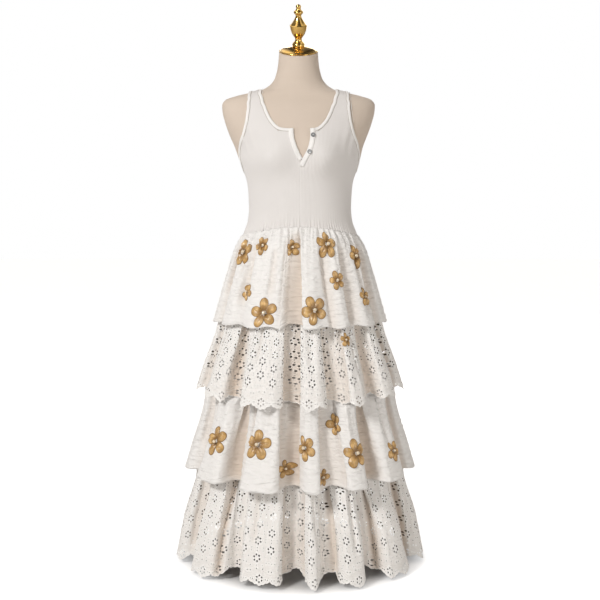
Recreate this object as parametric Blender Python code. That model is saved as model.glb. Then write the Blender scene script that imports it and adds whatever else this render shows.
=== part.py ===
# Tiered maxi dress on a limbless dress form.
# Metres, +Z up. The front faces -Y, and the origin is the middle of the stand base's underside.
# Angles run round the body from the front, and are positive towards +X.
import math
from collections import namedtuple

import bpy
from mathutils import Matrix, Vector
from mathutils.geometry import delaunay_2d_cdt

for old_object in list(bpy.data.objects):
    bpy.data.objects.remove(old_object, do_unlink=True)

# Driving sizes
SEAM_GAP = 0.0003            # between two pieces that are sewn or that rest on each other
CLOTH_WALL = 0.0015          # woven and knitted cloth
BODY_GAP = 0.0015            # from the form's linen to the inside of the knit
BODICE_OUT = BODY_GAP + CLOTH_WALL
BINDING_WIDTH = 0.009
BINDING_OUT = 0.0037
PLACKET_WIDTH = 0.013
PLACKET_WALL = 0.0012
PLACKET_LIFT = 0.0010        # over the knit's facets
FORM_CLEAR = 0.0016          # the form's facets keep this much inside the body's true surface
BUTTON_RADIUS = 0.0055
BUTTON_THICKNESS = 0.0022
SEAM_FRONT_Z = 0.905         # the high waist seam at the front
SEAM_SIDE_Z = 0.879          # and at the side
STAND_FOOT_RADIUS = 0.112
STAND_FOOT_HEIGHT = 0.016
POLE_RADIUS = 0.0125
NECK_TILT = math.radians(16)
FORM_STATIONS = 28
TURNED_STATIONS = 12
DISC_STATIONS = 18
SKIRT_STATIONS = 120
FLOWER_WALL = 0.0010
FLOWER_LIFT = 0.0010
EYELET = 0.0044              # across one cut hole

# The body that the form has, a row for each level. power squares the outline off.
Slice = namedtuple("Slice", "z middle half_width front back power")
BODY = [
    Slice(0.700, 0.000, 0.1380, 0.086, 0.100, 2.2),
    Slice(0.708, 0.000, 0.1560, 0.101, 0.119, 2.2),
    Slice(0.770, 0.000, 0.1690, 0.108, 0.132, 2.2),
    Slice(0.830, 0.000, 0.1620, 0.106, 0.124, 2.2),
    Slice(0.880, 0.000, 0.1490, 0.103, 0.106, 2.2),
    Slice(0.918, 0.000, 0.1365, 0.100, 0.094, 2.2),
    Slice(0.950, 0.000, 0.1336, 0.099, 0.089, 2.2),
    Slice(0.985, 0.000, 0.1348, 0.100, 0.088, 2.2),
    Slice(1.015, 0.000, 0.1375, 0.103, 0.091, 2.2),
    Slice(1.046, 0.000, 0.1465, 0.108, 0.096, 2.2),
    Slice(1.078, -0.001, 0.1605, 0.112, 0.101, 2.1),
    Slice(1.110, -0.003, 0.1700, 0.113, 0.105, 2.0),
    Slice(1.142, -0.004, 0.1830, 0.108, 0.106, 2.0),
    Slice(1.173, -0.004, 0.1940, 0.098, 0.103, 2.0),
    Slice(1.204, -0.004, 0.2018, 0.083, 0.093, 2.0),
    Slice(1.222, -0.004, 0.2030, 0.073, 0.083, 2.0),
    Slice(1.236, -0.004, 0.1940, 0.064, 0.074, 2.0),
    Slice(1.2466, -0.004, 0.1640, 0.059, 0.069, 2.0),
    Slice(1.2545, -0.004, 0.1300, 0.057, 0.066, 2.0),
    Slice(1.2623, -0.004, 0.0968, 0.056, 0.063, 2.0),
    Slice(1.278, -0.004, 0.0729, 0.053, 0.058, 2.0),
    Slice(1.294, -0.004, 0.0622, 0.051, 0.055, 2.0),
    Slice(1.328, -0.004, 0.0542, 0.050, 0.052, 2.0),
    Slice(1.362, -0.004, 0.0512, 0.050, 0.050, 2.0),
]
TILT_START_Z = 1.270         # the neck leans forward from here to its top
BUST_OUT = 0.019
BUST_X = 0.072
BUST_Z = 1.086
BUST_WIDE = 0.046
BUST_HIGH = 0.046

# The bodice, cut in two panels. A row for each level: where it starts at the middle or the neck,
# and where it ends at the side seam (x is None there) or at the armhole.
Edge = namedtuple("Edge", "inner_z outer_x outer_z")
FRONT_BODY_ROWS = [
    Edge(0.905, None, 0.879),
    Edge(0.933, None, 0.915),
    Edge(0.976, None, 0.962),
    Edge(1.024, None, 1.012),
    Edge(1.060, None, 1.052),
    Edge(1.083, 0.1540, 1.070),
    Edge(1.107, 0.1575, 1.093),
    Edge(1.132, 0.1545, 1.118),
    Edge(1.157, 0.1455, 1.145),
]
BACK_BODY_ROWS = [
    Edge(0.905, None, 0.879),
    Edge(0.933, None, 0.915),
    Edge(0.976, None, 0.962),
    Edge(1.024, None, 1.012),
    Edge(1.060, None, 1.052),
    Edge(1.082, 0.1545, 1.071),
    Edge(1.108, 0.1560, 1.095),
    Edge(1.138, 0.1500, 1.124),
    Edge(1.168, 0.1410, 1.155),
    Edge(1.193, 0.1375, 1.185),
]
# The straps above them, from the neck edge to the armhole edge. The last row is the shoulder seam.
Strap = namedtuple("Strap", "neck_x neck_z arm_x arm_z")
FRONT_STRAP_ROWS = [
    Strap(0.0660, 1.176, 0.1395, 1.168),
    Strap(0.0790, 1.199, 0.1355, 1.195),
    Strap(0.0885, 1.222, 0.1340, 1.220),
    Strap(0.0940, 1.243, 0.1325, 1.238),
    Strap(0.0965, 1.2550, 0.1315, 1.2490),
    Strap(0.0973, 1.2603, 0.1311, 1.2531),
]
BACK_STRAP_ROWS = [
    Strap(0.0720, 1.209, 0.1345, 1.207),
    Strap(0.0900, 1.234, 0.1332, 1.231),
    Strap(0.0955, 1.2520, 0.1319, 1.2465),
    Strap(0.0970, 1.2595, 0.1312, 1.2525),
]
SHOULDER_NECK_X = 0.0975
SHOULDER_ARM_X = 0.1310
NECK_CORNER_X = 0.049        # where the scoop turns up into the strap
HALF_COLUMNS = 9
NECK_COLUMN = 2
STRAP_COLUMNS = (2, 4, 7, 9)
SEAM_HALF_ANGLE = 0.0025     # half of the gap at the side and shoulder seams, as an angle

# The henley slit in the front panel, from its lowest point up.
Slit = namedtuple("Slit", "z left right")
SLIT = [
    Slit(1.083, 0.0065, 0.0125),
    Slit(1.107, -0.0045, 0.0240),
    Slit(1.132, -0.0115, 0.0300),
    Slit(1.157, -0.0130, 0.0300),
]
SLIT_ROW = 5                 # the body row where the slit starts
SLIT_TAIL_Z = 1.062          # the right placket ends below the slit
Button = namedtuple("Button", "name x z")
BUTTONS = [
    Button("button_upper", 0.0390, 1.1370),
    Button("button_lower", 0.0290, 1.0960),
]

# The tiers, a row for each level. fold is how deep the drawn-in folds are there, gather how deep
# the gathers are, lift how much a fold pulls the cloth up.
Level = namedtuple("Level", "front_z side_z half_width half_depth fold gather lift")
Fold = namedtuple("Fold", "angle half_angle depth")
Tier = namedtuple("Tier", "name levels folds gathers scallops scallop_depth")
TIERS = [
    Tier("tier_1", [
        Level(SEAM_FRONT_Z - 2 * SEAM_GAP, SEAM_SIDE_Z - 2 * SEAM_GAP, 0.0, 0.0, 0.0, 0.0015, 0.0),
        Level(0.882, 0.857, 0.1690, 0.127, 0.002, 0.0060, 0.0),
        Level(0.790, 0.785, 0.1955, 0.158, 0.012, 0.0020, 0.0),
        Level(0.700, 0.700, 0.2204, 0.184, 0.023, 0.0, 0.0),
        Level(0.647, 0.648, 0.2354, 0.201, 0.029, 0.0, 0.014),
    ], [
        Fold(-5.0, 5.5, 1.0), Fold(-21.0, 6.0, 0.35), Fold(-45.0, 7.0, 0.40), Fold(18.0, 6.0, 0.35),
        Fold(39.0, 7.0, 0.40), Fold(66.0, 7.0, 0.35), Fold(-70.0, 7.0, 0.30), Fold(104.0, 7.0, 0.45),
        Fold(133.0, 7.0, 0.60), Fold(163.0, 6.0, 0.80), Fold(194.0, 6.5, 0.55), Fold(225.0, 7.0, 0.70),
        Fold(256.0, 7.0, 0.40),
    ], 60, 0, 0.0),
    Tier("tier_2", [
        Level(0.700, 0.700, 0.0, 0.0, 0.0, 0.0030, 0.0),
        Level(0.638, 0.640, 0.2250, 0.188, 0.021, 0.0040, 0.0),
        Level(0.515, 0.520, 0.2665, 0.227, 0.038, 0.0015, 0.0),
        Level(0.444, 0.464, 0.2835, 0.243, 0.046, 0.0, 0.012),
    ], [
        Fold(-40.0, 5.0, 0.90), Fold(-5.0, 5.5, 1.0), Fold(20.5, 6.0, 0.85), Fold(45.0, 5.5, 0.85),
        Fold(74.0, 6.0, 0.55), Fold(-73.0, 6.0, 0.45), Fold(107.0, 6.0, 0.75), Fold(137.0, 6.0, 0.95),
        Fold(166.0, 5.5, 0.85), Fold(198.0, 6.0, 1.0), Fold(229.0, 6.0, 0.80), Fold(258.0, 6.0, 0.60),
    ], 40, 30, 0.017),
    Tier("tier_3", [
        Level(0.515, 0.520, 0.0, 0.0, 0.0, 0.0030, 0.0),
        Level(0.434, 0.450, 0.2590, 0.221, 0.034, 0.0040, 0.0),
        Level(0.300, 0.305, 0.2985, 0.262, 0.050, 0.0015, 0.0),
        Level(0.240, 0.252, 0.3140, 0.279, 0.057, 0.0, 0.010),
    ], [
        Fold(-37.0, 5.0, 0.85), Fold(-4.0, 5.5, 1.0), Fold(17.5, 5.5, 0.85), Fold(38.0, 5.5, 0.85),
        Fold(71.0, 6.0, 0.60), Fold(-70.0, 6.0, 0.50), Fold(104.0, 6.0, 0.75), Fold(134.0, 6.0, 0.95),
        Fold(164.0, 5.5, 0.85), Fold(195.0, 6.0, 1.0), Fold(227.0, 6.0, 0.85), Fold(257.0, 6.0, 0.65),
    ], 40, 0, 0.0),
    Tier("tier_4", [
        Level(0.300, 0.305, 0.0, 0.0, 0.0, 0.0030, 0.0),
        Level(0.232, 0.242, 0.2850, 0.251, 0.044, 0.0040, 0.0),
        Level(0.112, 0.115, 0.3190, 0.291, 0.062, 0.0015, 0.0),
        Level(0.006, 0.006, 0.3400, 0.326, 0.080, 0.0, 0.030),
    ], [
        Fold(-35.0, 5.0, 0.80), Fold(-3.0, 5.0, 1.0), Fold(14.0, 5.0, 0.75), Fold(37.0, 5.0, 0.85),
        Fold(-20.0, 13.0, 0.20), Fold(68.0, 6.0, 0.60), Fold(-67.0, 6.0, 0.55), Fold(101.0, 6.0, 0.75),
        Fold(131.0, 6.0, 0.95), Fold(162.0, 5.5, 0.85), Fold(193.0, 6.0, 1.0), Fold(225.0, 6.0, 0.85),
        Fold(256.0, 6.0, 0.70),
    ], 40, 40, 0.018),
]
TUCK = 0.0012                # how far the cloth under a hem stays inside that hem

# The applique flowers: the tier, the angle and height of the middle, the size across, the turn.
Flower = namedtuple("Flower", "tier angle z across turn")
FLOWERS = [
    Flower(0, -57.0, 0.836, 0.070, 10), Flower(0, -34.0, 0.856, 0.046, 30), Flower(0, -6.0, 0.852, 0.046, 5),
    Flower(0, 23.0, 0.860, 0.066, 0), Flower(0, 56.0, 0.826, 0.064, 20), Flower(0, 29.0, 0.768, 0.046, 15),
    Flower(0, 55.0, 0.720, 0.048, 0), Flower(0, -43.0, 0.735, 0.042, 40), Flower(0, -25.0, 0.686, 0.070, 8),
    Flower(0, 9.6, 0.695, 0.068, 25), Flower(0, 110.0, 0.780, 0.064, 12), Flower(0, 147.0, 0.730, 0.068, 33),
    Flower(0, 180.0, 0.810, 0.048, 20), Flower(0, 213.0, 0.715, 0.068, 4), Flower(0, 245.0, 0.770, 0.048, 44),
    Flower(1, 31.0, 0.616, 0.034, 0), Flower(2, -52.7, 0.348, 0.068, 16),
    Flower(2, -22.6, 0.356, 0.074, 0), Flower(2, -5.2, 0.292, 0.050, 10), Flower(2, 2.5, 0.350, 0.064, 30),
    Flower(2, 21.3, 0.400, 0.054, 20), Flower(2, 38.5, 0.332, 0.074, 5), Flower(2, 57.0, 0.320, 0.050, 36),
    Flower(2, 13.9, 0.272, 0.040, 50), Flower(2, 102.0, 0.350, 0.070, 22), Flower(2, 137.0, 0.310, 0.050, 8),
    Flower(2, 168.0, 0.360, 0.070, 30), Flower(2, 211.0, 0.320, 0.072, 14), Flower(2, 244.0, 0.350, 0.050, 41),
]
PETALS = 5
PETAL_NOTCH = 0.40           # the notch between two petals, as a share of the flower's radius
PETAL_TIP_ANGLE = 17         # half of the petal's blunt end, in degrees
SMALL_FLOWER = 0.055         # a flower smaller than this has petals with one tip point
FLOWER_SAG = 0.0008          # a flower passes over a bend in the wall that is smaller than this
TWIST_LIMIT = 0.0037         # a cell of the wall more twisted than this is followed along its diagonal

# The turned pieces at the neck: a row for each ring, from the bottom up.
Ring = namedtuple("Ring", "height radius")
NECK_CAP = [
    Ring(0.0000, 0.0500), Ring(0.0012, 0.0512), Ring(0.0030, 0.0506), Ring(0.0046, 0.0455),
    Ring(0.0088, 0.0330), Ring(0.0118, 0.0200), Ring(0.0130, 0.0172),
]
FINIAL = [
    Ring(0.0000, 0.0172), Ring(0.0040, 0.0170), Ring(0.0095, 0.0122), Ring(0.0190, 0.0095),
    Ring(0.0260, 0.0105), Ring(0.0360, 0.0175), Ring(0.0490, 0.0221), Ring(0.0600, 0.0195),
    Ring(0.0700, 0.0115), Ring(0.0790, 0.0066), Ring(0.0870, 0.0117), Ring(0.0910, 0.0110),
    Ring(0.0965, 0.0046), Ring(0.1030, 0.0061), Ring(0.1080, 0.0045), Ring(0.1100, 0.0012),
]
STAND_FOOT = [
    Ring(0.0000, STAND_FOOT_RADIUS), Ring(0.0060, STAND_FOOT_RADIUS),
    Ring(0.0110, STAND_FOOT_RADIUS - 0.006), Ring(STAND_FOOT_HEIGHT, 0.030),
]


def make_material(name, colour, roughness, metallic=0.0):
    """A plain Principled finish."""
    material = bpy.data.materials.new(name)
    material.use_nodes = True
    shader = material.node_tree.nodes["Principled BSDF"]
    shader.inputs["Base Color"].default_value = (*colour, 1.0)
    shader.inputs["Roughness"].default_value = roughness
    shader.inputs["Metallic"].default_value = metallic
    return material


LINEN = make_material("linen", (0.72, 0.64, 0.55), 0.85)
GOLD = make_material("polished_gold", (0.83, 0.58, 0.22), 0.22, 1.0)
STEEL = make_material("painted_steel", (0.80, 0.79, 0.76), 0.45)
KNIT = make_material("rib_knit", (0.90, 0.88, 0.86), 0.80)
BINDING = make_material("binding", (0.90, 0.88, 0.85), 0.78)
COTTON = make_material("crinkled_cotton", (0.91, 0.88, 0.85), 0.82)
EYELET_CLOTH = make_material("eyelet_cloth", (0.91, 0.88, 0.84), 0.82)
APPLIQUE = make_material("gold_satin", (0.62, 0.40, 0.13), 0.45)
BUTTON = make_material("button", (0.78, 0.78, 0.79), 0.30)


def add_object(name, points, faces, material, smooth=True):
    """One closed body from its points and faces."""
    mesh = bpy.data.meshes.new(name)
    mesh.from_pydata([tuple(point) for point in points], [], faces)
    mesh.materials.append(material)
    mesh.update()
    if smooth:
        mesh.shade_smooth()
        mesh.set_sharp_from_angle(angle=math.radians(40))
    part = bpy.data.objects.new(name, mesh)
    bpy.context.scene.collection.objects.link(part)
    return part


def surface_normals(points, triangles):
    """The outward direction at each point of a sheet of triangles."""
    sums = [Vector((0.0, 0.0, 0.0)) for _ in points]
    for a, b, c in triangles:
        direction = (points[b] - points[a]).cross(points[c] - points[a])
        for corner in (a, b, c):
            sums[corner] += direction
    return [direction.normalized() for direction in sums]


def add_wall(name, outer, inner, triangles, material):
    """Closes a sheet of triangles into a wall: outside, inside, and a rim along every open edge."""
    count = len(outer)
    faces = [tuple(face) for face in triangles]
    faces += [(a + count, c + count, b + count) for a, b, c in triangles]
    directed = {(face[k], face[(k + 1) % 3]) for face in triangles for k in range(3)}
    for a, b in sorted(directed):
        if (b, a) not in directed:
            faces.append((b, a, a + count))
            faces.append((b, a + count, b + count))
    return add_object(name, outer + inner, faces, material)


def grid_triangles(cells, index):
    """Two triangles for each cell (row, column) of a grid whose rows run downwards."""
    triangles = []
    for row, column in cells:
        top_left, top_right = index(row, column), index(row, column + 1)
        low_left, low_right = index(row + 1, column), index(row + 1, column + 1)
        triangles.append((top_left, low_left, low_right))
        triangles.append((top_left, low_right, top_right))
    return triangles


def read_table(rows, column, height):
    """Reads a column of a table at a height, on a smooth curve that never overshoots its rows."""
    heights = [row.z for row in rows]
    values = [getattr(row, column) for row in rows]
    height = min(max(height, heights[0]), heights[-1])
    place = max(k for k in range(len(rows) - 1) if heights[k] <= height)

    def rise(k):
        return (values[k + 1] - values[k]) / (heights[k + 1] - heights[k])

    def slope(k):
        if k == 0 or k == len(rows) - 1:
            return rise(min(k, len(rows) - 2))
        before, after = rise(k - 1), rise(k)
        return 0.0 if before * after <= 0.0 else 2.0 * before * after / (before + after)

    width = heights[place + 1] - heights[place]
    t = (height - heights[place]) / width
    return (values[place] * (1 + 2 * t) * (1 - t) ** 2 + values[place + 1] * t * t * (3 - 2 * t)
            + slope(place) * width * t * (1 - t) ** 2 - slope(place + 1) * width * t * t * (1 - t))


def signed_power(value, power):
    return math.copysign(abs(value) ** power, value)


def body_point(angle, z):
    """A point of the body's surface."""
    half_width = read_table(BODY, "half_width", z)
    power = 2.0 / read_table(BODY, "power", z)
    across, ahead = math.sin(angle), math.cos(angle)
    x = half_width * signed_power(across, power)
    depth = read_table(BODY, "front" if ahead > 0 else "back", z)
    y = -depth * signed_power(ahead, power)
    if ahead > 0:
        mound = ((abs(x) - BUST_X) / BUST_WIDE) ** 2 + ((z - BUST_Z) / BUST_HIGH) ** 2
        y -= BUST_OUT * math.exp(-mound) * ahead
    top_z = BODY[-1].z
    lean = min(max((z - TILT_START_Z) / (top_z - TILT_START_Z), 0.0), 1.0)
    return Vector((x + read_table(BODY, "middle", z), y, z + y * lean * math.tan(NECK_TILT)))


def body_slopes(angle, z):
    """How the surface point moves with the angle, and with the height."""
    step = 0.0005
    by_angle = (body_point(angle + step, z) - body_point(angle - step, z)) / (2 * step)
    by_height = (body_point(angle, z + step) - body_point(angle, z - step)) / (2 * step)
    return by_angle, by_height


def on_body(angle, z, out):
    """A point at a distance out from the body's surface."""
    by_angle, by_height = body_slopes(angle, z)
    return body_point(angle, z) + by_angle.cross(by_height).normalized() * out


def angle_at(x, z, behind=False):
    """The angle of the body point at a distance x from its middle line."""
    share = min(abs(x) / read_table(BODY, "half_width", z), 1.0)
    angle = math.asin(share ** (read_table(BODY, "power", z) / 2.0))
    return math.copysign(math.pi - angle if behind else angle, x)


def shoulder_z(x):
    """The height of the shoulder's ridge at a distance x from the middle."""
    low, high = 1.225, 1.325
    for _ in range(40):
        middle = (low + high) / 2
        if read_table(BODY, "half_width", middle) > x:
            low = middle
        else:
            high = middle
    return low


def inset(border, distance, closed=False):
    """Moves a border, given as (angle, z) pairs, into the cloth on its left-hand side."""
    points = [body_point(angle, z) for angle, z in border]
    moved = []
    for k, (angle, z) in enumerate(border):
        ahead = points[(k + 1) % len(points)] if closed or k < len(points) - 1 else points[k]
        behind = points[k - 1] if closed or k else points[k]
        by_angle, by_height = body_slopes(angle, z)
        normal = by_angle.cross(by_height).normalized()
        shift = normal.cross(ahead - behind).normalized() * distance
        aa, ah, hh = by_angle.dot(by_angle), by_angle.dot(by_height), by_height.dot(by_height)
        sa, sh = shift.dot(by_angle), shift.dot(by_height)
        area = aa * hh - ah * ah
        moved.append((angle + (sa * hh - sh * ah) / area, z + (sh * aa - sa * ah) / area))
    return moved


def slit_x(z, side):
    """The slit's edge at a height; below the slit, the middle line of its lowest point."""
    return read_table(SLIT, side, z)


def neck_border(side):
    """The neck edge of one half, from the slit up over the shoulder to the middle of the back."""
    slit_side = "left" if side < 0 else "right"
    bottom_z = FRONT_BODY_ROWS[-1].inner_z
    slit = slit_x(bottom_z, slit_side)
    turn = side * NECK_CORNER_X
    border = [(angle_at(x, bottom_z), bottom_z) for x in (slit, (slit + turn) / 2)]
    border.append((angle_at(turn, bottom_z + 0.003), bottom_z + 0.003))
    border += [(angle_at(side * row.neck_x, row.neck_z), row.neck_z) for row in FRONT_STRAP_ROWS]
    border.append((side * math.pi / 2, shoulder_z(SHOULDER_NECK_X)))
    border += [(angle_at(side * row.neck_x, row.neck_z, True), row.neck_z)
               for row in reversed(BACK_STRAP_ROWS)]
    back_z = BACK_BODY_ROWS[-1].inner_z
    border.append((angle_at(turn, back_z + 0.003, True), back_z + 0.003))
    border.append((angle_at(turn / 2, back_z, True), back_z))
    border.append((side * math.pi, back_z))
    return border


def armhole_border(side):
    """One armhole's edge: from the side seam up the front, over the shoulder, down the back."""
    def edge(row, behind):
        return angle_at(side * row.outer_x, row.outer_z, behind), row.outer_z

    def strap_edge(row, behind):
        return angle_at(side * row.arm_x, row.arm_z, behind), row.arm_z

    bottom = next(row for row in reversed(FRONT_BODY_ROWS) if row.outer_x is None)
    border = [(side * math.pi / 2, bottom.outer_z)]
    border += [edge(row, False) for row in FRONT_BODY_ROWS if row.outer_x]
    border += [strap_edge(row, False) for row in FRONT_STRAP_ROWS]
    border.append((side * math.pi / 2, shoulder_z(SHOULDER_ARM_X)))
    border += [strap_edge(row, True) for row in reversed(BACK_STRAP_ROWS)]
    border += [edge(row, True) for row in reversed(BACK_BODY_ROWS) if row.outer_x]
    return border


def inset_half(side, distance):
    """The neck edge and the armhole edge of one half, moved into the cloth."""
    def kept_on_seams(border, moved):
        return [(start[0] if abs(abs(start[0]) - math.pi / 2) < 1e-6 else end[0], end[1])
                for start, end in zip(border, moved)]

    neck, armhole = neck_border(side), armhole_border(side)
    return (kept_on_seams(neck, inset(neck, -side * distance)),
            kept_on_seams(armhole, inset(armhole, side * distance, closed=True)))


def mixed(first, second, share):
    return tuple(a + (b - a) * share for a, b in zip(first, second))


def half_panel_rows(side, behind):
    """The (angle, z) net of half a bodice panel, from the waist up. Its column 0 is the middle."""
    body_rows = BACK_BODY_ROWS if behind else FRONT_BODY_ROWS
    strap_count = len(BACK_STRAP_ROWS if behind else FRONT_STRAP_ROWS)
    neck, armhole = inset_half(side, BINDING_WIDTH + SEAM_GAP)
    arm_count = sum(1 for row in body_rows if row.outer_x)
    if behind:
        neck, armhole = neck[::-1], [armhole[0]] + armhole[:0:-1]
    seam_angle = side * (math.pi / 2 + (SEAM_HALF_ANGLE if behind else -SEAM_HALF_ANGLE))
    slit_side = "left" if side < 0 else "right"
    net = []
    for row in body_rows:
        level = len(net)
        first_arm = len(body_rows) - arm_count
        if level == first_arm - 1:
            outer = (seam_angle, armhole[0][1])
        elif level < first_arm:
            outer = (seam_angle, row.outer_z)
        else:
            outer = armhole[level - first_arm + 1]
        inner_x = 0.0 if behind else slit_x(row.inner_z, slit_side)
        inner = (angle_at(inner_x, row.inner_z, behind), row.inner_z)
        if behind:
            inner = (side * math.pi, row.inner_z)
        if level == 0:
            angles = [mixed(inner, outer, k / HALF_COLUMNS)[0] for k in range(HALF_COLUMNS + 1)]
            net.append([(angle, seam_z(angle, SEAM_FRONT_Z, SEAM_SIDE_Z)) for angle in angles])
            continue
        if level == len(body_rows) - 1:
            scoop = neck[:NECK_COLUMN + 1]
            strap = [mixed(scoop[-1], outer, k / (HALF_COLUMNS - NECK_COLUMN))
                     for k in range(1, HALF_COLUMNS - NECK_COLUMN + 1)]
            net.append(scoop + strap)
        else:
            net.append([mixed(inner, outer, k / HALF_COLUMNS) for k in range(HALF_COLUMNS + 1)])
    for level in range(1, strap_count + 2):
        start, end = neck[NECK_COLUMN + level], armhole[arm_count + level]
        if level == strap_count + 1:
            start, end = (seam_angle, start[1]), (seam_angle, end[1])
        columns = HALF_COLUMNS - NECK_COLUMN
        strap = [mixed(start, end, k / columns) if k + NECK_COLUMN in STRAP_COLUMNS else None
                 for k in range(columns + 1)]
        net.append([None] * NECK_COLUMN + strap)
    return net


def add_bodice_panel(name, behind):
    """A bodice panel from its two halves; the front one is open along the slit."""
    left, right = half_panel_rows(-1, behind), half_panel_rows(1, behind)
    if behind:
        net = [b[::-1] + a[1:] for a, b in zip(left, right)]
    else:
        net = [a[::-1] + b for a, b in zip(left, right)]
    outer, inner, lines = [], [], []
    for line in net[::-1]:
        lines.append({})
        for column, place in enumerate(line):
            if place is None:
                continue
            lines[-1][column] = len(outer)
            outer.append(on_body(*place, BODICE_OUT))
            inner.append(on_body(*place, BODY_GAP))
    slit_end = len(net) - 1 - SLIT_ROW
    strap_end = len(net) - len(BACK_BODY_ROWS if behind else FRONT_BODY_ROWS)
    triangles = []
    for row, (upper, lower) in enumerate(zip(lines, lines[1:])):
        columns = sorted(upper)
        for start, end in zip(columns, columns[1:]):
            open_neck = row < strap_end and end - start >= 2 * NECK_COLUMN
            open_slit = not behind and start == HALF_COLUMNS and row < slit_end
            if open_neck or open_slit:
                continue
            low = [lower[column] for column in range(start, end + 1) if column in lower]
            triangles += [(upper[start], a, b) for a, b in zip(low, low[1:])]
            triangles.append((upper[start], low[-1], upper[end]))
    add_wall(name, outer, inner, triangles, KNIT)


def add_binding(name, border, border_in, closed):
    """A flat band on the body between a cut edge and a line inside it."""
    count = len(border)
    outer = [on_body(angle, z, BINDING_OUT) for line in (border, border_in) for angle, z in line]
    inner = [on_body(angle, z, BODY_GAP) for line in (border, border_in) for angle, z in line]
    triangles = []
    for k in range(count if closed else count - 1):
        after = (k + 1) % count
        triangles.append((k, k + count, after + count))
        triangles.append((k, after + count, after))
    normals = surface_normals(outer, triangles)
    if sum(normal.dot(high - low) for normal, high, low in zip(normals, outer, inner)) < 0:
        triangles = [(a, c, b) for a, b, c in triangles]
    add_wall(name, outer, inner, triangles, BINDING)


def add_bindings():
    """The neck binding, open at the slit, and a closed binding round each armhole."""
    left, right = neck_border(-1), neck_border(1)
    (left_in, left_arm), (right_in, right_arm) = (inset_half(side, BINDING_WIDTH) for side in (-1, 1))

    def joined(one, other):
        turned = [(angle + 2 * math.pi, z) for angle, z in one]
        return other + turned[-2::-1]

    add_binding("neck_binding", joined(left, right), joined(left_in, right_in), False)
    add_binding("armhole_binding_left", armhole_border(-1), left_arm, True)
    add_binding("armhole_binding_right", armhole_border(1), right_arm, True)


def add_plackets():
    """The two bands beside the slit, and the right one's tail below it."""
    low = BODICE_OUT + PLACKET_LIFT
    top_z = SLIT[-1].z - BINDING_WIDTH - 2 * SEAM_GAP
    heights = {"left": [1.088, 1.107, 1.128, top_z], "right": [SLIT_TAIL_Z, 1.083, 1.107, 1.128, top_z]}
    for side, name in (("left", "placket_left"), ("right", "placket_right")):
        outer, inner = [], []
        for z in reversed(heights[side]):
            edge = slit_x(z, side)
            if side == "left":
                span = (edge - PLACKET_WIDTH, edge - PLACKET_WIDTH / 2, edge)
            elif z < SLIT[0].z:
                span = (0.0, PLACKET_WIDTH / 2, PLACKET_WIDTH)
            else:
                span = (edge, edge + PLACKET_WIDTH / 2, edge + PLACKET_WIDTH)
            for x in span:
                outer.append(on_body(angle_at(x, z), z, low + PLACKET_WALL))
                inner.append(on_body(angle_at(x, z), z, low))
        cells = [(row, column) for row in range(len(heights[side]) - 1) for column in range(2)]
        add_wall(name, outer, inner, grid_triangles(cells, lambda row, column: row * 3 + column), BINDING)


def add_turned(name, rings, stations, place, material):
    """A turned solid: rings round an axis, closed at both ends."""
    points = [place @ Vector((0.0, 0.0, rings[0].height))]
    for ring in rings:
        for k in range(stations):
            turn = 2 * math.pi * k / stations
            offset = Vector((ring.radius * math.sin(turn), -ring.radius * math.cos(turn), ring.height))
            points.append(place @ offset)
    points.append(place @ Vector((0.0, 0.0, rings[-1].height)))
    top = len(points) - 1
    faces = []
    for k in range(stations):
        after = (k + 1) % stations
        faces.append((0, 1 + after, 1 + k))
        faces.append((top, top - stations + k, top - stations + after))
        for level in range(len(rings) - 1):
            low, high = 1 + level * stations, 1 + (level + 1) * stations
            faces.append((low + k, low + after, high + after, high + k))
    return add_object(name, points, faces, material)


def add_form():
    """The dress form: body, neck cap and finial, and the stand that carries it."""
    rows = list(reversed(BODY))
    points, faces = [body_point(0.0, rows[0].z) * 0.5 + body_point(math.pi, rows[0].z) * 0.5], []
    for row in rows:
        for k in range(FORM_STATIONS):
            points.append(on_body(2 * math.pi * k / FORM_STATIONS, row.z, -FORM_CLEAR))
    points.append(Vector((0.0, 0.0, rows[-1].z)))
    bottom = len(points) - 1
    for k in range(FORM_STATIONS):
        after = (k + 1) % FORM_STATIONS
        faces.append((0, 1 + k, 1 + after))
        faces.append((bottom, bottom - FORM_STATIONS + after, bottom - FORM_STATIONS + k))
    cells = [(row, column) for row in range(len(rows) - 1) for column in range(FORM_STATIONS)]
    faces += grid_triangles(cells, lambda row, column: 1 + row * FORM_STATIONS + column % FORM_STATIONS)
    add_object("form_torso", points, faces, LINEN)

    neck_top = Vector((BODY[-1].middle, 0.0, BODY[-1].z))
    tilt = Matrix.Rotation(NECK_TILT, 4, "X")
    cap_place = Matrix.Translation(neck_top) @ tilt @ Matrix.Translation((0.0, 0.0, 2 * SEAM_GAP))
    add_turned("neck_cap", NECK_CAP, DISC_STATIONS, cap_place, GOLD)
    cap_height = NECK_CAP[-1].height + SEAM_GAP
    add_turned("finial", FINIAL, TURNED_STATIONS, cap_place @ Matrix.Translation((0.0, 0.0, cap_height)), GOLD)

    add_turned("stand_base", STAND_FOOT, DISC_STATIONS, Matrix.Identity(4), STEEL)
    pole = [Ring(STAND_FOOT_HEIGHT + SEAM_GAP, POLE_RADIUS), Ring(BODY[0].z - SEAM_GAP, POLE_RADIUS)]
    add_turned("stand_pole", pole, TURNED_STATIONS, Matrix.Identity(4), STEEL)


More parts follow.
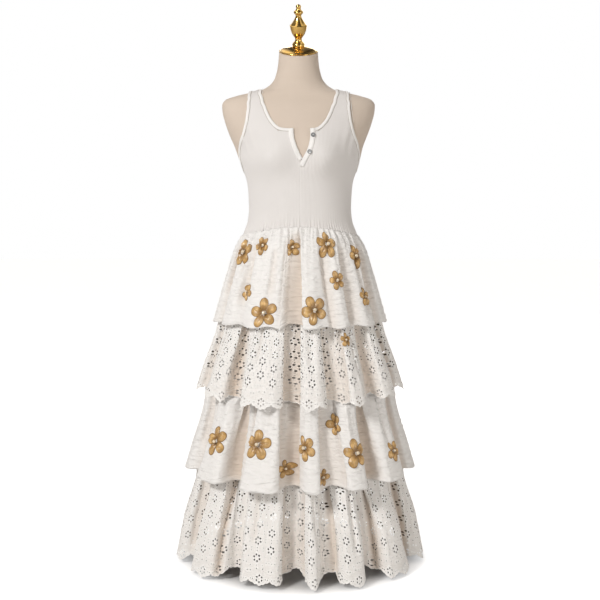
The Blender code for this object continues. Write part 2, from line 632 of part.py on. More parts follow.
def add_buttons():
    """Two flat round buttons on the right placket."""
    rings = [Ring(0.0, BUTTON_RADIUS), Ring(BUTTON_THICKNESS - 0.0005, BUTTON_RADIUS),
             Ring(BUTTON_THICKNESS, BUTTON_RADIUS - 0.0012)]
    out = BODICE_OUT + PLACKET_LIFT + PLACKET_WALL + SEAM_GAP
    for button in BUTTONS:
        angle = angle_at(button.x, button.z)
        by_angle, by_height = body_slopes(angle, button.z)
        normal = by_angle.cross(by_height).normalized()
        turn = normal.to_track_quat("Z", "Y").to_matrix().to_4x4()
        place = Matrix.Translation(on_body(angle, button.z, out)) @ turn
        add_turned(button.name, rings, TURNED_STATIONS, place, BUTTON)


def station_angle(station):
    return 2 * math.pi * station / SKIRT_STATIONS


def seam_z(angle, front_z, side_z):
    """A level that is lower or higher at the sides than at the front and back."""
    return front_z + (side_z - front_z) * math.sin(angle) ** 2


def fold_share(folds, angle):
    """How far the folds are drawn in at an angle: 0 on the lobes, up to 1 in the deepest fold."""
    total = 0.0
    for fold in folds:
        away = math.remainder(angle - math.radians(fold.angle), 2 * math.pi)
        total += fold.depth * math.exp(-abs(away / math.radians(fold.half_angle)) ** 2.4)
    return total


def scallop_rise(tier, position):
    """How much the scalloped hem stands above its points at a station."""
    if not tier.scallops:
        return 0.0
    phase = (position * tier.scallops / SKIRT_STATIONS) % 1.0
    return tier.scallop_depth * (1.0 - math.sin(math.pi * phase)) ** 1.3


def level_point(tier, level, station):
    """An outside point of a tier at one of its levels."""
    angle = station_angle(station)
    drawn_in = fold_share(tier.folds, angle)
    gathered = (1 - math.cos(2 * math.pi * station * tier.gathers / SKIRT_STATIONS)) / 2
    inward = level.fold * drawn_in + level.gather * gathered
    z = seam_z(angle, level.front_z, level.side_z) + level.lift * drawn_in
    if level is tier.levels[-1]:
        z += scallop_rise(tier, station)
    return Vector(((level.half_width - inward) * math.sin(angle),
                   -(level.half_depth - inward) * math.cos(angle), z))


def ring_triangles(row_count, stations):
    cells = [(row, column) for row in range(row_count - 1) for column in range(stations)]
    return grid_triangles(cells, lambda row, column: row * stations + column % stations)


def pull_inside(point, limit, margin):
    """Keeps a point at least a margin inside a limit, measured from the skirt's middle line."""
    reach = math.hypot(limit.x, limit.y) - margin
    size = math.hypot(point.x, point.y)
    if size > reach:
        point.x *= reach / size
        point.y *= reach / size


def make_tier(tier, upper):
    """The outside and inside points of a tier, row by row, from its seam to its hem."""
    rows = []
    for number, level in enumerate(tier.levels):
        line = []
        for station in range(SKIRT_STATIONS):
            angle = station_angle(station)
            gathered = (1 - math.cos(2 * math.pi * station * tier.gathers / SKIRT_STATIONS)) / 2
            if number == 0 and upper is None:
                z = seam_z(angle, level.front_z, level.side_z)
                line.append(on_body(angle, z, BODICE_OUT + level.gather * (1 - gathered)))
            elif number == 0:
                point = upper.inner[-2][station].copy()
                pull_inside(point, point.copy(), 2 * SEAM_GAP + level.gather * gathered)
                line.append(point)
            else:
                point = level_point(tier, level, station)
                if number == 1 and upper is not None:
                    pull_inside(point, upper.inner[-1][station], TUCK)
                line.append(point)
        rows.append(line)
    flat = [point for line in rows for point in line]
    normals = surface_normals(flat, ring_triangles(len(rows), SKIRT_STATIONS))
    inner = [point - normal * CLOTH_WALL for point, normal in zip(flat, normals)]
    split = [inner[k:k + SKIRT_STATIONS] for k in range(0, len(inner), SKIRT_STATIONS)]
    normal_rows = [normals[k:k + SKIRT_STATIONS] for k in range(0, len(normals), SKIRT_STATIONS)]
    return TierPoints(rows, split, normal_rows)


TierPoints = namedtuple("TierPoints", "outer inner normals")


def add_tier(name, tier, points, first, last, hole_rows):
    """A tier, or the part of it between two stations. Each hole is cut through one cell."""
    whole = last - first == SKIRT_STATIONS
    columns = last - first + (0 if whole else 1)
    row_count = len(points.outer)
    outer, inner = [], []

    def pick(line, column):
        point = line[(first + column) % SKIRT_STATIONS]
        if whole or 0 < column < columns - 1:
            return point.copy()
        neighbour = line[(first + (1 if column == 0 else columns - 2)) % SKIRT_STATIONS]
        return point.lerp(neighbour, SEAM_GAP * 0.7 / (neighbour - point).length)

    for line_out, line_in in zip(points.outer, points.inner):
        outer += [pick(line_out, column) for column in range(columns)]
        inner += [pick(line_in, column) for column in range(columns)]

    def index(row, column):
        return row * columns + column % columns

    cell_columns = columns if whole else columns - 1
    triangles = []
    for row in range(row_count - 1):
        for column in range(cell_columns):
            spacing = hole_rows.get(row)
            holed = spacing and (first + column) % spacing == row % spacing
            if not holed:
                triangles += grid_triangles([(row, column)], index)
                continue
            ring = [index(row, column), index(row + 1, column),
                    index(row + 1, column + 1), index(row, column + 1)]
            start = len(outer)
            wide = (outer[ring[3]] - outer[ring[0]]).length
            tall = (outer[ring[1]] - outer[ring[0]]).length
            half_u, half_v = EYELET / 2 / wide, EYELET / 2 / tall
            for u, v in ((-half_u, -half_v), (-half_u, half_v), (half_u, half_v), (half_u, -half_v)):
                for sheet in (outer, inner):
                    top = sheet[ring[0]].lerp(sheet[ring[3]], 0.5 + u)
                    low = sheet[ring[1]].lerp(sheet[ring[2]], 0.5 + u)
                    sheet.append(top.lerp(low, 0.5 + v))
            for k in range(4):
                after = (k + 1) % 4
                triangles.append((ring[k], ring[after], start + after))
                triangles.append((ring[k], start + after, start + k))
    add_wall(name, outer, inner, triangles, EYELET_CLOTH if tier.scallops else COTTON)


def add_skirt():
    """The four tiers, each tucked under the hem above it."""
    made = []
    quarter = SKIRT_STATIONS // 4
    for tier in TIERS:
        points = make_tier(tier, made[-1] if made else None)
        made.append(points)
        if not tier.scallops:
            add_tier(tier.name, tier, points, 0, SKIRT_STATIONS, {})
            continue
        spacing = SKIRT_STATIONS // tier.scallops
        holes = {len(tier.levels) - 2: spacing}
        add_tier(tier.name + "_front", tier, points, -quarter, quarter, holes)
        add_tier(tier.name + "_back", tier, points, quarter, 3 * quarter, holes)
    return made


def wall_place(points, station, row, out):
    """A point on a tier's faceted outside, or at a distance out from it."""
    left, top = math.floor(station), min(math.floor(row), len(points.outer) - 2)
    across, down = station - left, row - top

    def corner(line, column):
        column %= SKIRT_STATIONS
        return points.outer[line][column] + points.normals[line][column] * out

    start, end = corner(top, left), corner(top + 1, left + 1)
    if down >= across:
        low = corner(top + 1, left)
        return start + (low - start) * down + (end - low) * across
    high = corner(top, left + 1)
    return start + (high - start) * across + (end - high) * down


def walk(place, start, distance, step):
    """How far to go from start, in steps of a place function, to cover a distance on the cloth."""
    way = math.copysign(step, distance)
    here, left = place(start), abs(distance)
    while left > 0.0:
        after = place(start + way)
        length = (after - here).length
        if length >= left:
            return start + way * left / length
        here, left, start = after, left - length, start + way
    return start


def flower_outline(flower):
    """The outline of a five-petal flower, flat, round its own middle."""
    radius, outline = flower.across / 2, []
    for petal in range(PETALS):
        middle = flower.turn + 90 + petal * 360 / PETALS
        tips = (0,) if flower.across < SMALL_FLOWER else (-PETAL_TIP_ANGLE, PETAL_TIP_ANGLE)
        corners = [(middle + tip, 1.0) for tip in tips]
        corners.append((middle + 180 / PETALS, PETAL_NOTCH))
        for degrees, size in corners:
            turn = math.radians(degrees)
            outline.append(Vector((math.cos(turn), math.sin(turn))) * radius * size)
    return outline


def inside(point, outline):
    """Whether a flat point lies inside a closed outline."""
    crossings = 0
    for a, b in zip(outline, outline[1:] + outline[:1]):
        if (a.y > point.y) != (b.y > point.y):
            crossings += point.x < a.x + (b.x - a.x) * (point.y - a.y) / (b.y - a.y)
    return crossings % 2 == 1


def add_flower(name, flower, points):
    """A thin applique that follows the facets of the tier that it is sewn to."""
    last_row = len(points.outer) - 1
    middle = flower.angle * SKIRT_STATIONS / 360
    low, high = 0.0, float(last_row)
    for _ in range(30):
        row = (low + high) / 2
        low, high = (row, high) if wall_place(points, middle, row, 0.0).z > flower.z else (low, row)
    centre_row = row
    outline = []
    for spot in flower_outline(flower):
        station = walk(lambda s: wall_place(points, s, centre_row, 0.0), middle, spot.x, 0.25)
        down = walk(lambda r: wall_place(points, middle, min(max(r, 0.0), last_row - 0.0001), 0.0),
                    centre_row, -spot.y, 0.02)
        outline.append(Vector((station, -down)))

    verts, edges = list(outline), []
    edges += [(k, (k + 1) % len(outline)) for k in range(len(outline))]

    def add_line(start, end):
        edges.append((len(verts), len(verts) + 1))
        verts.extend((Vector(start), Vector(end)))

    left = math.floor(min(spot.x for spot in outline))
    right = math.floor(max(spot.x for spot in outline)) + 1
    high_row, low_row = -max(spot.y for spot in outline), -min(spot.y for spot in outline)
    top, bottom = math.floor(high_row), math.floor(low_row) + 1

    def bends(start, end):
        """Whether the wall leaves a straight line between two stations."""
        for line in (high_row, low_row):
            a, b = wall_place(points, start, line, 0.0), wall_place(points, end, line, 0.0)
            way = (b - a).normalized()
            for station in range(start + 1, end):
                away = wall_place(points, station, line, 0.0) - a
                if (away - way * away.dot(way)).length > FLOWER_SAG:
                    return True
        return False

    kept_station = left
    for station in range(left, right + 1):
        if station in (left, right) or bends(kept_station, station + 1):
            add_line((station, -top), (station, -bottom))
            kept_station = station
    for line in range(top, bottom + 1):
        add_line((left, -line), (right, -line))
        for station in range(left, right if line < bottom else left):
            corners = [wall_place(points, station + a, min(line + b, last_row), 0.0)
                       for a, b in ((0, 0), (1, 1), (0, 1), (1, 0))]
            twist = (corners[0] + corners[1] - corners[2] - corners[3]).length
            if twist > TWIST_LIMIT:
                add_line((station, -line), (station + 1, -(line + 1)))
    flat, _, faces, _, _, _ = delaunay_2d_cdt(verts, edges, [], 0, 1e-6)
    kept = [face for face in faces
            if inside(sum((flat[k] for k in face), Vector((0.0, 0.0))) / len(face), outline)]
    used = sorted({k for face in kept for k in face})
    number = {k: place for place, k in enumerate(used)}
    triangles = [tuple(number[k] for k in face) for face in kept]
    outer = [wall_place(points, flat[k].x, -flat[k].y, FLOWER_LIFT + FLOWER_WALL) for k in used]
    inner = [wall_place(points, flat[k].x, -flat[k].y, FLOWER_LIFT) for k in used]
    add_wall(name, outer, inner, triangles, APPLIQUE)


def add_flowers(tier_points):
    counts = {}
    for flower in FLOWERS:
        number = counts[flower.tier] = counts.get(flower.tier, 0) + 1
        name = f"flower_{TIERS[flower.tier].name[-1]}_{number:02d}"
        add_flower(name, flower, tier_points[flower.tier])


add_form()
add_bodice_panel("bodice_front", False)
add_bodice_panel("bodice_back", True)
add_bindings()
add_plackets()
add_buttons()
add_flowers(add_skirt())
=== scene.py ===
# %% [markdown]
# # A tiered maxi dress on a dress form
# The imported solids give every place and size. This lesson dresses them: knit, crinkled cotton, eyelet cloth
# with cut holes, satin flowers, bindings, stitches and polished metal. All lengths are metres, +Z is up, and
# the front of the dress faces -Y.

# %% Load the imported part
import math
from collections import namedtuple

import bmesh
import bpy
import numpy as np
from mathutils import Matrix, Vector
from mathutils.geometry import delaunay_2d_cdt


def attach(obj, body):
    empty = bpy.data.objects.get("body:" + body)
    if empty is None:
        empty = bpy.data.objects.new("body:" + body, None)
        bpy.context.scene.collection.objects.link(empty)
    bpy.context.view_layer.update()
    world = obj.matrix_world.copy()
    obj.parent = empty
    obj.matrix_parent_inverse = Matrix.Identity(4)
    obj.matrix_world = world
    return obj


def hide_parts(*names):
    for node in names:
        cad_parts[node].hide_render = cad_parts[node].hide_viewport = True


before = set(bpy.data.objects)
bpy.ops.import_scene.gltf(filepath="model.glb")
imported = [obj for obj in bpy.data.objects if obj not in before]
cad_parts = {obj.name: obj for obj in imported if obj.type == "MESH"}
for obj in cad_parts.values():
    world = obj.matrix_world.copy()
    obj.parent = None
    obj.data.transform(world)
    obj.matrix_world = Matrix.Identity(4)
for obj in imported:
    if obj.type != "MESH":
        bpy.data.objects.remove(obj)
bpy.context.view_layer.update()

BODY_NAME = "root"

# %% [markdown]
# ## Camera
# A product photo of a dress is taken from a few metres away with a long lens, a little above the middle, so
# the tiers show as shallow arcs. The focal length is worked out from the picture: how many of its points one
# metre covers at one metre's distance.

# %% The camera at the photo's viewing angle
PHOTO_SIZE = 600
FOCAL_POINTS = 1154.0
CAMERA_PLACE = (0.0, -3.10, 1.023)
CAMERA_PITCH = 5.9
SENSOR = 36.0

camera_data = bpy.data.cameras.new("camera")
camera_data.lens = SENSOR * FOCAL_POINTS / PHOTO_SIZE
camera_data.sensor_width = SENSOR
camera = bpy.data.objects.new("camera", camera_data)
camera.location = CAMERA_PLACE
camera.rotation_euler = (math.radians(90.0 - CAMERA_PITCH), 0.0, 0.0)
bpy.context.scene.collection.objects.link(camera)
bpy.context.scene.camera = camera
print("lens:", round(camera_data.lens, 2), "mm")

# %% [markdown]
# ## A short way to write node trees
# Shader and geometry trees are long when each node and link has its own lines. A small helper adds a node,
# sets its plain inputs and links the others, so that a tree reads like a sum.


# %% The tree helper
class Tree:
    """Adds nodes to a node tree. An input is a value, or the output socket of another node."""

    def __init__(self, tree):
        self.tree = tree

    def add(self, kind, inputs=None, **settings):
        node = self.tree.nodes.new(kind)
        for name, value in settings.items():
            setattr(node, name, value)
        for name, value in (inputs or {}).items():
            self.feed(value, node.inputs[name])
        return node

    def feed(self, value, socket):
        """Gives an input socket a plain value, or links it to an output socket."""
        if isinstance(value, bpy.types.NodeSocket):
            self.tree.links.new(value, socket)
        else:
            socket.default_value = value

    def maths(self, operation, first, second=0.0):
        return self.add("ShaderNodeMath", {0: first, 1: second}, operation=operation).outputs[0]

    def blend(self, share, first, second):
        """A colour between two others."""
        node = self.add("ShaderNodeMix", data_type="RGBA")
        for place, value in ((0, share), (6, first), (7, second)):
            self.feed(value, node.inputs[place])
        return node.outputs[2]


def named_group(name, kind, inputs, outputs):
    """An empty node group with named inputs (name, socket type, start value) and outputs."""
    tree = bpy.data.node_groups.new(name, kind)
    for socket_name, socket_type, start in inputs:
        socket = tree.interface.new_socket(socket_name, in_out="INPUT", socket_type=socket_type)
        if start is not None:
            socket.default_value = start
    for socket_name, socket_type in outputs:
        tree.interface.new_socket(socket_name, in_out="OUTPUT", socket_type=socket_type)
    helper = Tree(tree)
    return helper, helper.add("NodeGroupInput"), helper.add("NodeGroupOutput")


print("tree helper ready")

# %% [markdown]
# ## Light
# White cloth needs soft light with a direction, or its folds vanish. One large lamp stands at the upper left
# of the front and a weaker one at the right, and a pale sky fills the shadows. Polished metal mirrors bands
# of light and dark in that sky, as it would in a studio. The floor is nearly white.

# %% Lamps, sky and floor
Lamp = namedtuple("Lamp", "name place target size power colour")
LAMPS = [
    Lamp("key", (-2.7, -3.2, 3.3), (0.0, 0.0, 0.70), 1.0, 136.0, (1.0, 0.995, 0.99)),
    Lamp("fill", (2.7, -2.8, 0.5), (0.0, 0.0, 0.35), 1.4, 28.0, (1.0, 0.98, 0.95)),
    Lamp("back", (0.6, 3.2, 2.4), (0.0, 0.0, 0.9), 2.0, 34.0, (1.0, 1.0, 1.0)),
]
for lamp in LAMPS:
    lamp_data = bpy.data.lights.new(lamp.name, "AREA")
    lamp_data.size = lamp.size
    lamp_data.energy = lamp.power
    lamp_data.color = lamp.colour
    lamp_object = bpy.data.objects.new(lamp.name, lamp_data)
    lamp_object.location = lamp.place
    way = Vector(lamp.target) - Vector(lamp.place)
    lamp_object.rotation_euler = way.to_track_quat("-Z", "Y").to_euler()
    bpy.context.scene.collection.objects.link(lamp_object)

SKY_LIGHT = (0.375, 0.350, 0.322, 1.0)
SKY_SHOWN = (1.0, 1.0, 1.0, 1.0)
GLOSS_PANELS = [(0.0, 0.04), (0.12, 0.28), (0.20, 0.04), (0.27, 1.50), (0.37, 1.10), (0.43, 0.05),
                (0.53, 0.20), (0.60, 0.04), (0.72, 0.10), (0.78, 1.00), (0.86, 0.60), (0.92, 0.05)]
world = bpy.data.worlds.new("pale sky")
world.use_nodes = True
sky = Tree(world.node_tree)
rays = sky.add("ShaderNodeLightPath").outputs
plain_sky = sky.blend(rays["Is Camera Ray"], SKY_LIGHT, SKY_SHOWN)
sky_way = sky.add("ShaderNodeSeparateXYZ", {0: sky.add("ShaderNodeTexCoord").outputs["Generated"]})
from_left = sky.add("ShaderNodeMapRange", {0: sky_way.outputs[0], 1: -1.0}).outputs[0]
panels = sky.add("ShaderNodeValToRGB", {0: from_left})
for place, tone in GLOSS_PANELS:
    stop = panels.color_ramp.elements.new(place)
    stop.color = (tone, tone * 0.96, tone * 0.90, 1.0)
sky.feed(sky.blend(rays["Is Glossy Ray"], plain_sky, panels.outputs[0]),
         world.node_tree.nodes["Background"].inputs["Color"])
bpy.context.scene.world = world
bpy.context.scene.view_settings.view_transform = "Standard"

FLOOR_HALF = 12.0
floor_mesh = bpy.data.meshes.new("floor")
floor_mesh.from_pydata([(x, y, 0.0) for x, y in ((-1, -1), (1, -1), (1, 1), (-1, 1))], [], [(0, 1, 2, 3)])
floor_mesh.transform(Matrix.Diagonal((FLOOR_HALF, FLOOR_HALF, 1.0, 1.0)))
floor = bpy.data.objects.new("floor", floor_mesh)
bpy.context.scene.collection.objects.link(floor)
print("lamps:", [lamp.name for lamp in LAMPS])

# %% [markdown]
# ## Effects that several finishes share
# Every cloth here has threads, and all of them vary a little in tone. Both effects are node groups. The
# threads read the cloth's own flat coordinates, in metres, so they follow each fold. Cotton that has been
# washed also has a crosswise crinkle, which is noise drawn out along the width.

# %% Thread, mottle and crinkle groups
FLOAT, VECTOR = "NodeSocketFloat", "NodeSocketVector"
threads, given, result = named_group("Threads", "ShaderNodeTree",
                                     [("Flat", VECTOR, None), ("Threads a metre", FLOAT, 1500.0)],
                                     [("Height", FLOAT)])
scaled = threads.add("ShaderNodeVectorMath", {0: given.outputs["Flat"],
                                              "Scale": given.outputs["Threads a metre"]}, operation="SCALE")
parted = threads.add("ShaderNodeSeparateXYZ", {0: scaled.outputs[0]})
across_wave = threads.maths("SINE", threads.maths("MULTIPLY", parted.outputs[0], math.pi))
down_wave = threads.maths("SINE", threads.maths("MULTIPLY", parted.outputs[1], math.pi))
threads.feed(threads.maths("MULTIPLY_ADD", threads.maths("MULTIPLY", across_wave, down_wave), 0.5),
             result.inputs["Height"])

mottle, given, result = named_group("Mottle", "ShaderNodeTree",
                                    [("Place", VECTOR, None), ("Spots a metre", FLOAT, 20.0)],
                                    [("Mask", FLOAT)])
cloud = mottle.add("ShaderNodeTexNoise", {"Vector": given.outputs["Place"],
                                          "Scale": given.outputs["Spots a metre"],
                                          "Detail": 3.0, "Roughness": 0.55})
mottle.feed(cloud.outputs[0], result.inputs["Mask"])

crinkle, given, result = named_group("Crinkle", "ShaderNodeTree",
                                     [("Flat", VECTOR, None), ("Folds a metre", FLOAT, 130.0)],
                                     [("Height", FLOAT)])
drawn = crinkle.add("ShaderNodeVectorMath", {0: given.outputs["Flat"], 1: (0.27, 1.0, 1.0)},
                    operation="MULTIPLY")
wavy = crinkle.add("ShaderNodeTexNoise", {"Vector": drawn.outputs[0], "Scale": given.outputs["Folds a metre"],
                                          "Detail": 2.5, "Roughness": 0.5, "Distortion": 0.6})
crinkle.feed(wavy.outputs[0], result.inputs["Height"])
GROUPS = {"Threads": threads.tree, "Mottle": mottle.tree, "Crinkle": crinkle.tree}
print("groups:", sorted(GROUPS))

# %% [markdown]
# ## Finishes
# A finish is one Principled shader. What is the same all over, such as sheen, is set on the shader itself;
# what varies comes through a socket: colour from a mottle or a painted mask, and the normal from threads.


# %% A start for each finish
# The most of the painted fold shade: how far the colour goes towards the tint in the deepest folds.
FOLD_SHADE_MOST = 0.88


def use_group(tree, name, **inputs):
    """Places a shared group in a material, with its own values."""
    node = tree.add("ShaderNodeGroup", node_tree=GROUPS[name])
    for socket, value in inputs.items():
        tree.feed(value, node.inputs[socket.replace("_", " ")])
    return node.outputs[0]


def mottled(tree, spots):
    """A soft mask that varies over the object itself."""
    place = tree.add("ShaderNodeTexCoord").outputs["Object"]
    return use_group(tree, "Mottle", Place=place, Spots_a_metre=spots)


def painted(tree, name):
    """A mask painted on the points of a mesh."""
    return tree.add("ShaderNodeAttribute", attribute_name=name).outputs["Fac"]


def new_finish(name, roughness, **constants):
    """A material with its tree helper and its Principled shader."""
    material = bpy.data.materials.new(name)
    material.use_nodes = True
    shader = material.node_tree.nodes["Principled BSDF"]
    shader.inputs["Roughness"].default_value = roughness
    for socket, value in constants.items():
        shader.inputs[socket.replace("_", " ")].default_value = value
    return material, Tree(material.node_tree), shader


def rise(tree, shader, height, distance):
    """Feeds a height to the shader's normal, through one Bump node."""
    bump = tree.add("ShaderNodeBump", {"Height": height, "Distance": distance, "Strength": 1.0})
    tree.feed(bump.outputs[0], shader.inputs["Normal"])


def cloth_finish(name, light, dark, roughness, thread_count, thread_rise, crinkle_rise=0.0, satin=None,
                 hollow=None, inside=None, **constants):
    """Woven or knitted cloth: threads, an uneven tone and, where asked, a crinkle, satin stitches, painted
    fold shade and a painted darker inside.
    """
    material, tree, shader = new_finish(name, roughness, **constants)
    flat = tree.add("ShaderNodeUVMap", uv_map="Cloth").outputs[0]
    colour = tree.blend(mottled(tree, 9.0), (*dark, 1.0), (*light, 1.0))
    height = use_group(tree, "Threads", Flat=flat, Threads_a_metre=thread_count)
    height = tree.maths("MULTIPLY", height, thread_rise)
    if crinkle_rise:
        folds = use_group(tree, "Crinkle", Flat=flat)
        height = tree.maths("ADD", height, tree.maths("MULTIPLY", folds, crinkle_rise))
    if satin:
        colour = tree.blend(painted(tree, "satin"), colour, (*satin, 1.0))
    # Painted shade: the colour is drawn towards a darker tint where the mask says the cloth lies deep in a
    # crease or fold.
    if hollow:
        deep = tree.maths("MULTIPLY", painted(tree, "hollow"), FOLD_SHADE_MOST)
        colour = tree.blend(deep, colour, (*hollow, 1.0))
    # Painted shade: faces seen from behind, the inner side of the cloth, get a darker colour than the same
    # cloth outside.
    if inside:
        away = tree.add("ShaderNodeNewGeometry").outputs["Backfacing"]
        colour = tree.blend(away, colour, (*inside, 1.0))
    tree.feed(colour, shader.inputs["Base Color"])
    rise(tree, shader, height, 1.0)
    return material


# %% The cloths
# Painted fold shade: a warm beige laid on the cloth's colour in creases and folds.
FOLD_SHADE_TINT = (0.700, 0.590, 0.490)
LINEN = cloth_finish("linen", (0.700, 0.600, 0.510), (0.640, 0.540, 0.450), 0.88, 1250.0, 0.00012,
                     Sheen_Weight=0.15)
KNIT = cloth_finish("rib_knit", (0.800, 0.778, 0.762), (0.740, 0.714, 0.697), 0.86, 1800.0, 0.00005,
                    Sheen_Weight=0.2)
BINDING = cloth_finish("binding", (0.910, 0.895, 0.880), (0.870, 0.852, 0.835), 0.80, 1500.0, 0.00006,
                       Sheen_Weight=0.2)
# The inside colours of the cotton and the eyelet cloth are painted shade for the skirt's dim inner side.
COTTON = cloth_finish("crinkled_cotton", (0.905, 0.893, 0.880), (0.865, 0.845, 0.823), 0.75, 1700.0, 0.00004,
                      crinkle_rise=0.0056, hollow=FOLD_SHADE_TINT, inside=(0.62, 0.56, 0.50), Sheen_Weight=0.12)
EYELET_CLOTH = cloth_finish("eyelet_cloth", (0.890, 0.872, 0.850), (0.845, 0.817, 0.787), 0.82, 1500.0,
                            0.00006, crinkle_rise=0.0024, satin=(0.93, 0.92, 0.90), hollow=FOLD_SHADE_TINT,
                            inside=(0.22, 0.17, 0.13), Sheen_Weight=0.08)
print("cloths:", [m.name for m in (LINEN, KNIT, BINDING, COTTON, EYELET_CLOTH)])

# %% [markdown]
# The flowers are satin: bronze gold inside a darker sewn rim. From the heart out, a petal is dark, then
# light, then mid gold at
# the tip: the dark heart is painted shade where the petals meet round the pearl, and the light band is partly
# the satin's own light gold and partly a painted highlight. Two masks are painted on their points when they
# are made: how far out a point is, and whether it is on the rim.

# %% Satin
# Ramp stops for the petals: painted shade near the heart, then a light band that is partly own colour and
# partly painted highlight.
SATIN_SHADE_AND_HIGHLIGHT_STOPS = [(0.36, (0.430, 0.230, 0.055, 1.0)), (0.62, (0.800, 0.520, 0.210, 1.0))]
SATIN_SHADE, SATIN_RIM = (0.300, 0.150, 0.030, 1.0), (0.260, 0.135, 0.030, 1.0)

SATIN, satin_tree, shader = new_finish("gold_satin", 0.28, Sheen_Weight=0.15, Specular_IOR_Level=0.9)
# The ramp paints shade at the heart, where the petals meet, and a highlight band across each petal's middle.
ramp = satin_tree.add("ShaderNodeValToRGB", {0: painted(satin_tree, "reach")})
heart, tip = ramp.color_ramp.elements
heart.position, heart.color = 0.18, (0.150, 0.070, 0.014, 1.0)
tip.position, tip.color = 0.95, (0.560, 0.320, 0.085, 1.0)
for position, tone in SATIN_SHADE_AND_HIGHLIGHT_STOPS:
    ramp.color_ramp.elements.new(position).color = tone
patchy = satin_tree.add("ShaderNodeMapRange", {0: mottled(satin_tree, 75.0), 1: 0.38, 2: 0.62}).outputs[0]
shaded = satin_tree.blend(0.62, ramp.outputs[0], SATIN_SHADE)
patched = satin_tree.blend(patchy, shaded, ramp.outputs[0])
satin_tree.feed(satin_tree.blend(painted(satin_tree, "rim"), patched, SATIN_RIM), shader.inputs["Base Color"])
flat = satin_tree.add("ShaderNodeUVMap", uv_map="Cloth").outputs[0]
streaks = satin_tree.add("ShaderNodeVectorMath", {0: flat, 1: (1.0, 0.08, 1.0)}, operation="MULTIPLY")
fine = satin_tree.add("ShaderNodeTexNoise", {"Vector": streaks.outputs[0], "Scale": 2600.0, "Detail": 1.0})
rise(satin_tree, shader, fine.outputs[0], 0.00025)
print("satin nodes:", len(satin_tree.tree.nodes))


# %% Thread, metal, pearl, button and floor finishes
def mottled_finish(name, roughness, spots, dark, light, **constants):
    """A finish with one gloss and a slightly uneven colour."""
    material, tree, shader = new_finish(name, roughness, **constants)
    tree.feed(tree.blend(mottled(tree, spots), (*dark, 1.0), (*light, 1.0)), shader.inputs["Base Color"])
    return material


def hard_finish(name, light, dark, roughness_low, roughness_high, spots, **constants):
    """A hard surface whose colour and gloss vary slightly."""
    material, tree, shader = new_finish(name, roughness_low, **constants)
    mask = mottled(tree, spots)
    tree.feed(tree.blend(mask, (*dark, 1.0), (*light, 1.0)), shader.inputs["Base Color"])
    spread = tree.add("ShaderNodeMapRange", {0: mask, 3: roughness_low, 4: roughness_high}).outputs[0]
    tree.feed(spread, shader.inputs["Roughness"])
    return material


THREAD = mottled_finish("white_thread", 0.55, 300.0, (0.84, 0.82, 0.79), (0.95, 0.94, 0.92), Sheen_Weight=0.3)
# A grey finish for a painted shadow: the cord that stands for the shade in the ditch beside the bindings.
SEAM_SHADOW_FINISH = mottled_finish("grey_thread", 0.7, 300.0, (0.40, 0.36, 0.32), (0.56, 0.51, 0.46),
                             Sheen_Weight=0.2)
OCHRE_THREAD = mottled_finish("ochre_thread", 0.5, 400.0, (0.30, 0.160, 0.040), (0.52, 0.320, 0.100),
                              Sheen_Weight=0.2)
GOLD = hard_finish("polished_gold", (0.90, 0.60, 0.20), (0.66, 0.39, 0.10), 0.08, 0.20, 60.0, Metallic=1.0)
STEEL = hard_finish("painted_steel", (0.80, 0.79, 0.76), (0.74, 0.73, 0.70), 0.35, 0.50, 40.0,
                    Coat_Weight=0.2)
PEARL = hard_finish("pearl", (0.88, 0.78, 0.62), (0.76, 0.63, 0.44), 0.12, 0.24, 500.0, Coat_Weight=0.8,
                    Coat_Roughness=0.08)
GREY_BUTTON = hard_finish("grey_button", (0.27, 0.28, 0.29), (0.15, 0.16, 0.17), 0.22, 0.35, 900.0,
                          Coat_Weight=0.6)
PALE_BUTTON = hard_finish("pale_button", (0.44, 0.45, 0.46), (0.24, 0.25, 0.26), 0.15, 0.28, 900.0,
                          Coat_Weight=0.7)

FLOOR_GLOW, GLOW_START, GLOW_FULL = 0.72, 0.25, 0.37
FLOOR = mottled_finish("floor", 0.9, 0.6, (0.78, 0.77, 0.76), (0.80, 0.79, 0.78))
floor_tree = Tree(FLOOR.node_tree)
shader = FLOOR.node_tree.nodes["Principled BSDF"]
camera_ray = floor_tree.add("ShaderNodeLightPath").outputs["Is Camera Ray"]
seen = floor_tree.maths("MULTIPLY", camera_ray, FLOOR_GLOW)
place = floor_tree.add("ShaderNodeTexCoord").outputs["Object"]
away = floor_tree.add("ShaderNodeVectorMath", {0: place}, operation="LENGTH").outputs["Value"]
clear = floor_tree.add("ShaderNodeMapRange", {0: away, 1: GLOW_START, 2: GLOW_FULL},
                       interpolation_type="SMOOTHSTEP").outputs[0]
shader.inputs["Emission Color"].default_value = (0.985, 0.993, 1.0, 1.0)
floor_tree.feed(floor_tree.maths("MULTIPLY", seen, clear), shader.inputs["Emission Strength"])
floor_mesh.materials.append(FLOOR)
print("finishes:", len(bpy.data.materials))

# %% [markdown]
# ## Meshes from arrays
# Fine cloth has tens of thousands of points, so they are worked out as numpy arrays and handed to Blender in
# one step. Each cloth piece keeps a UV map with its flat place in metres, and masks for the finishes.


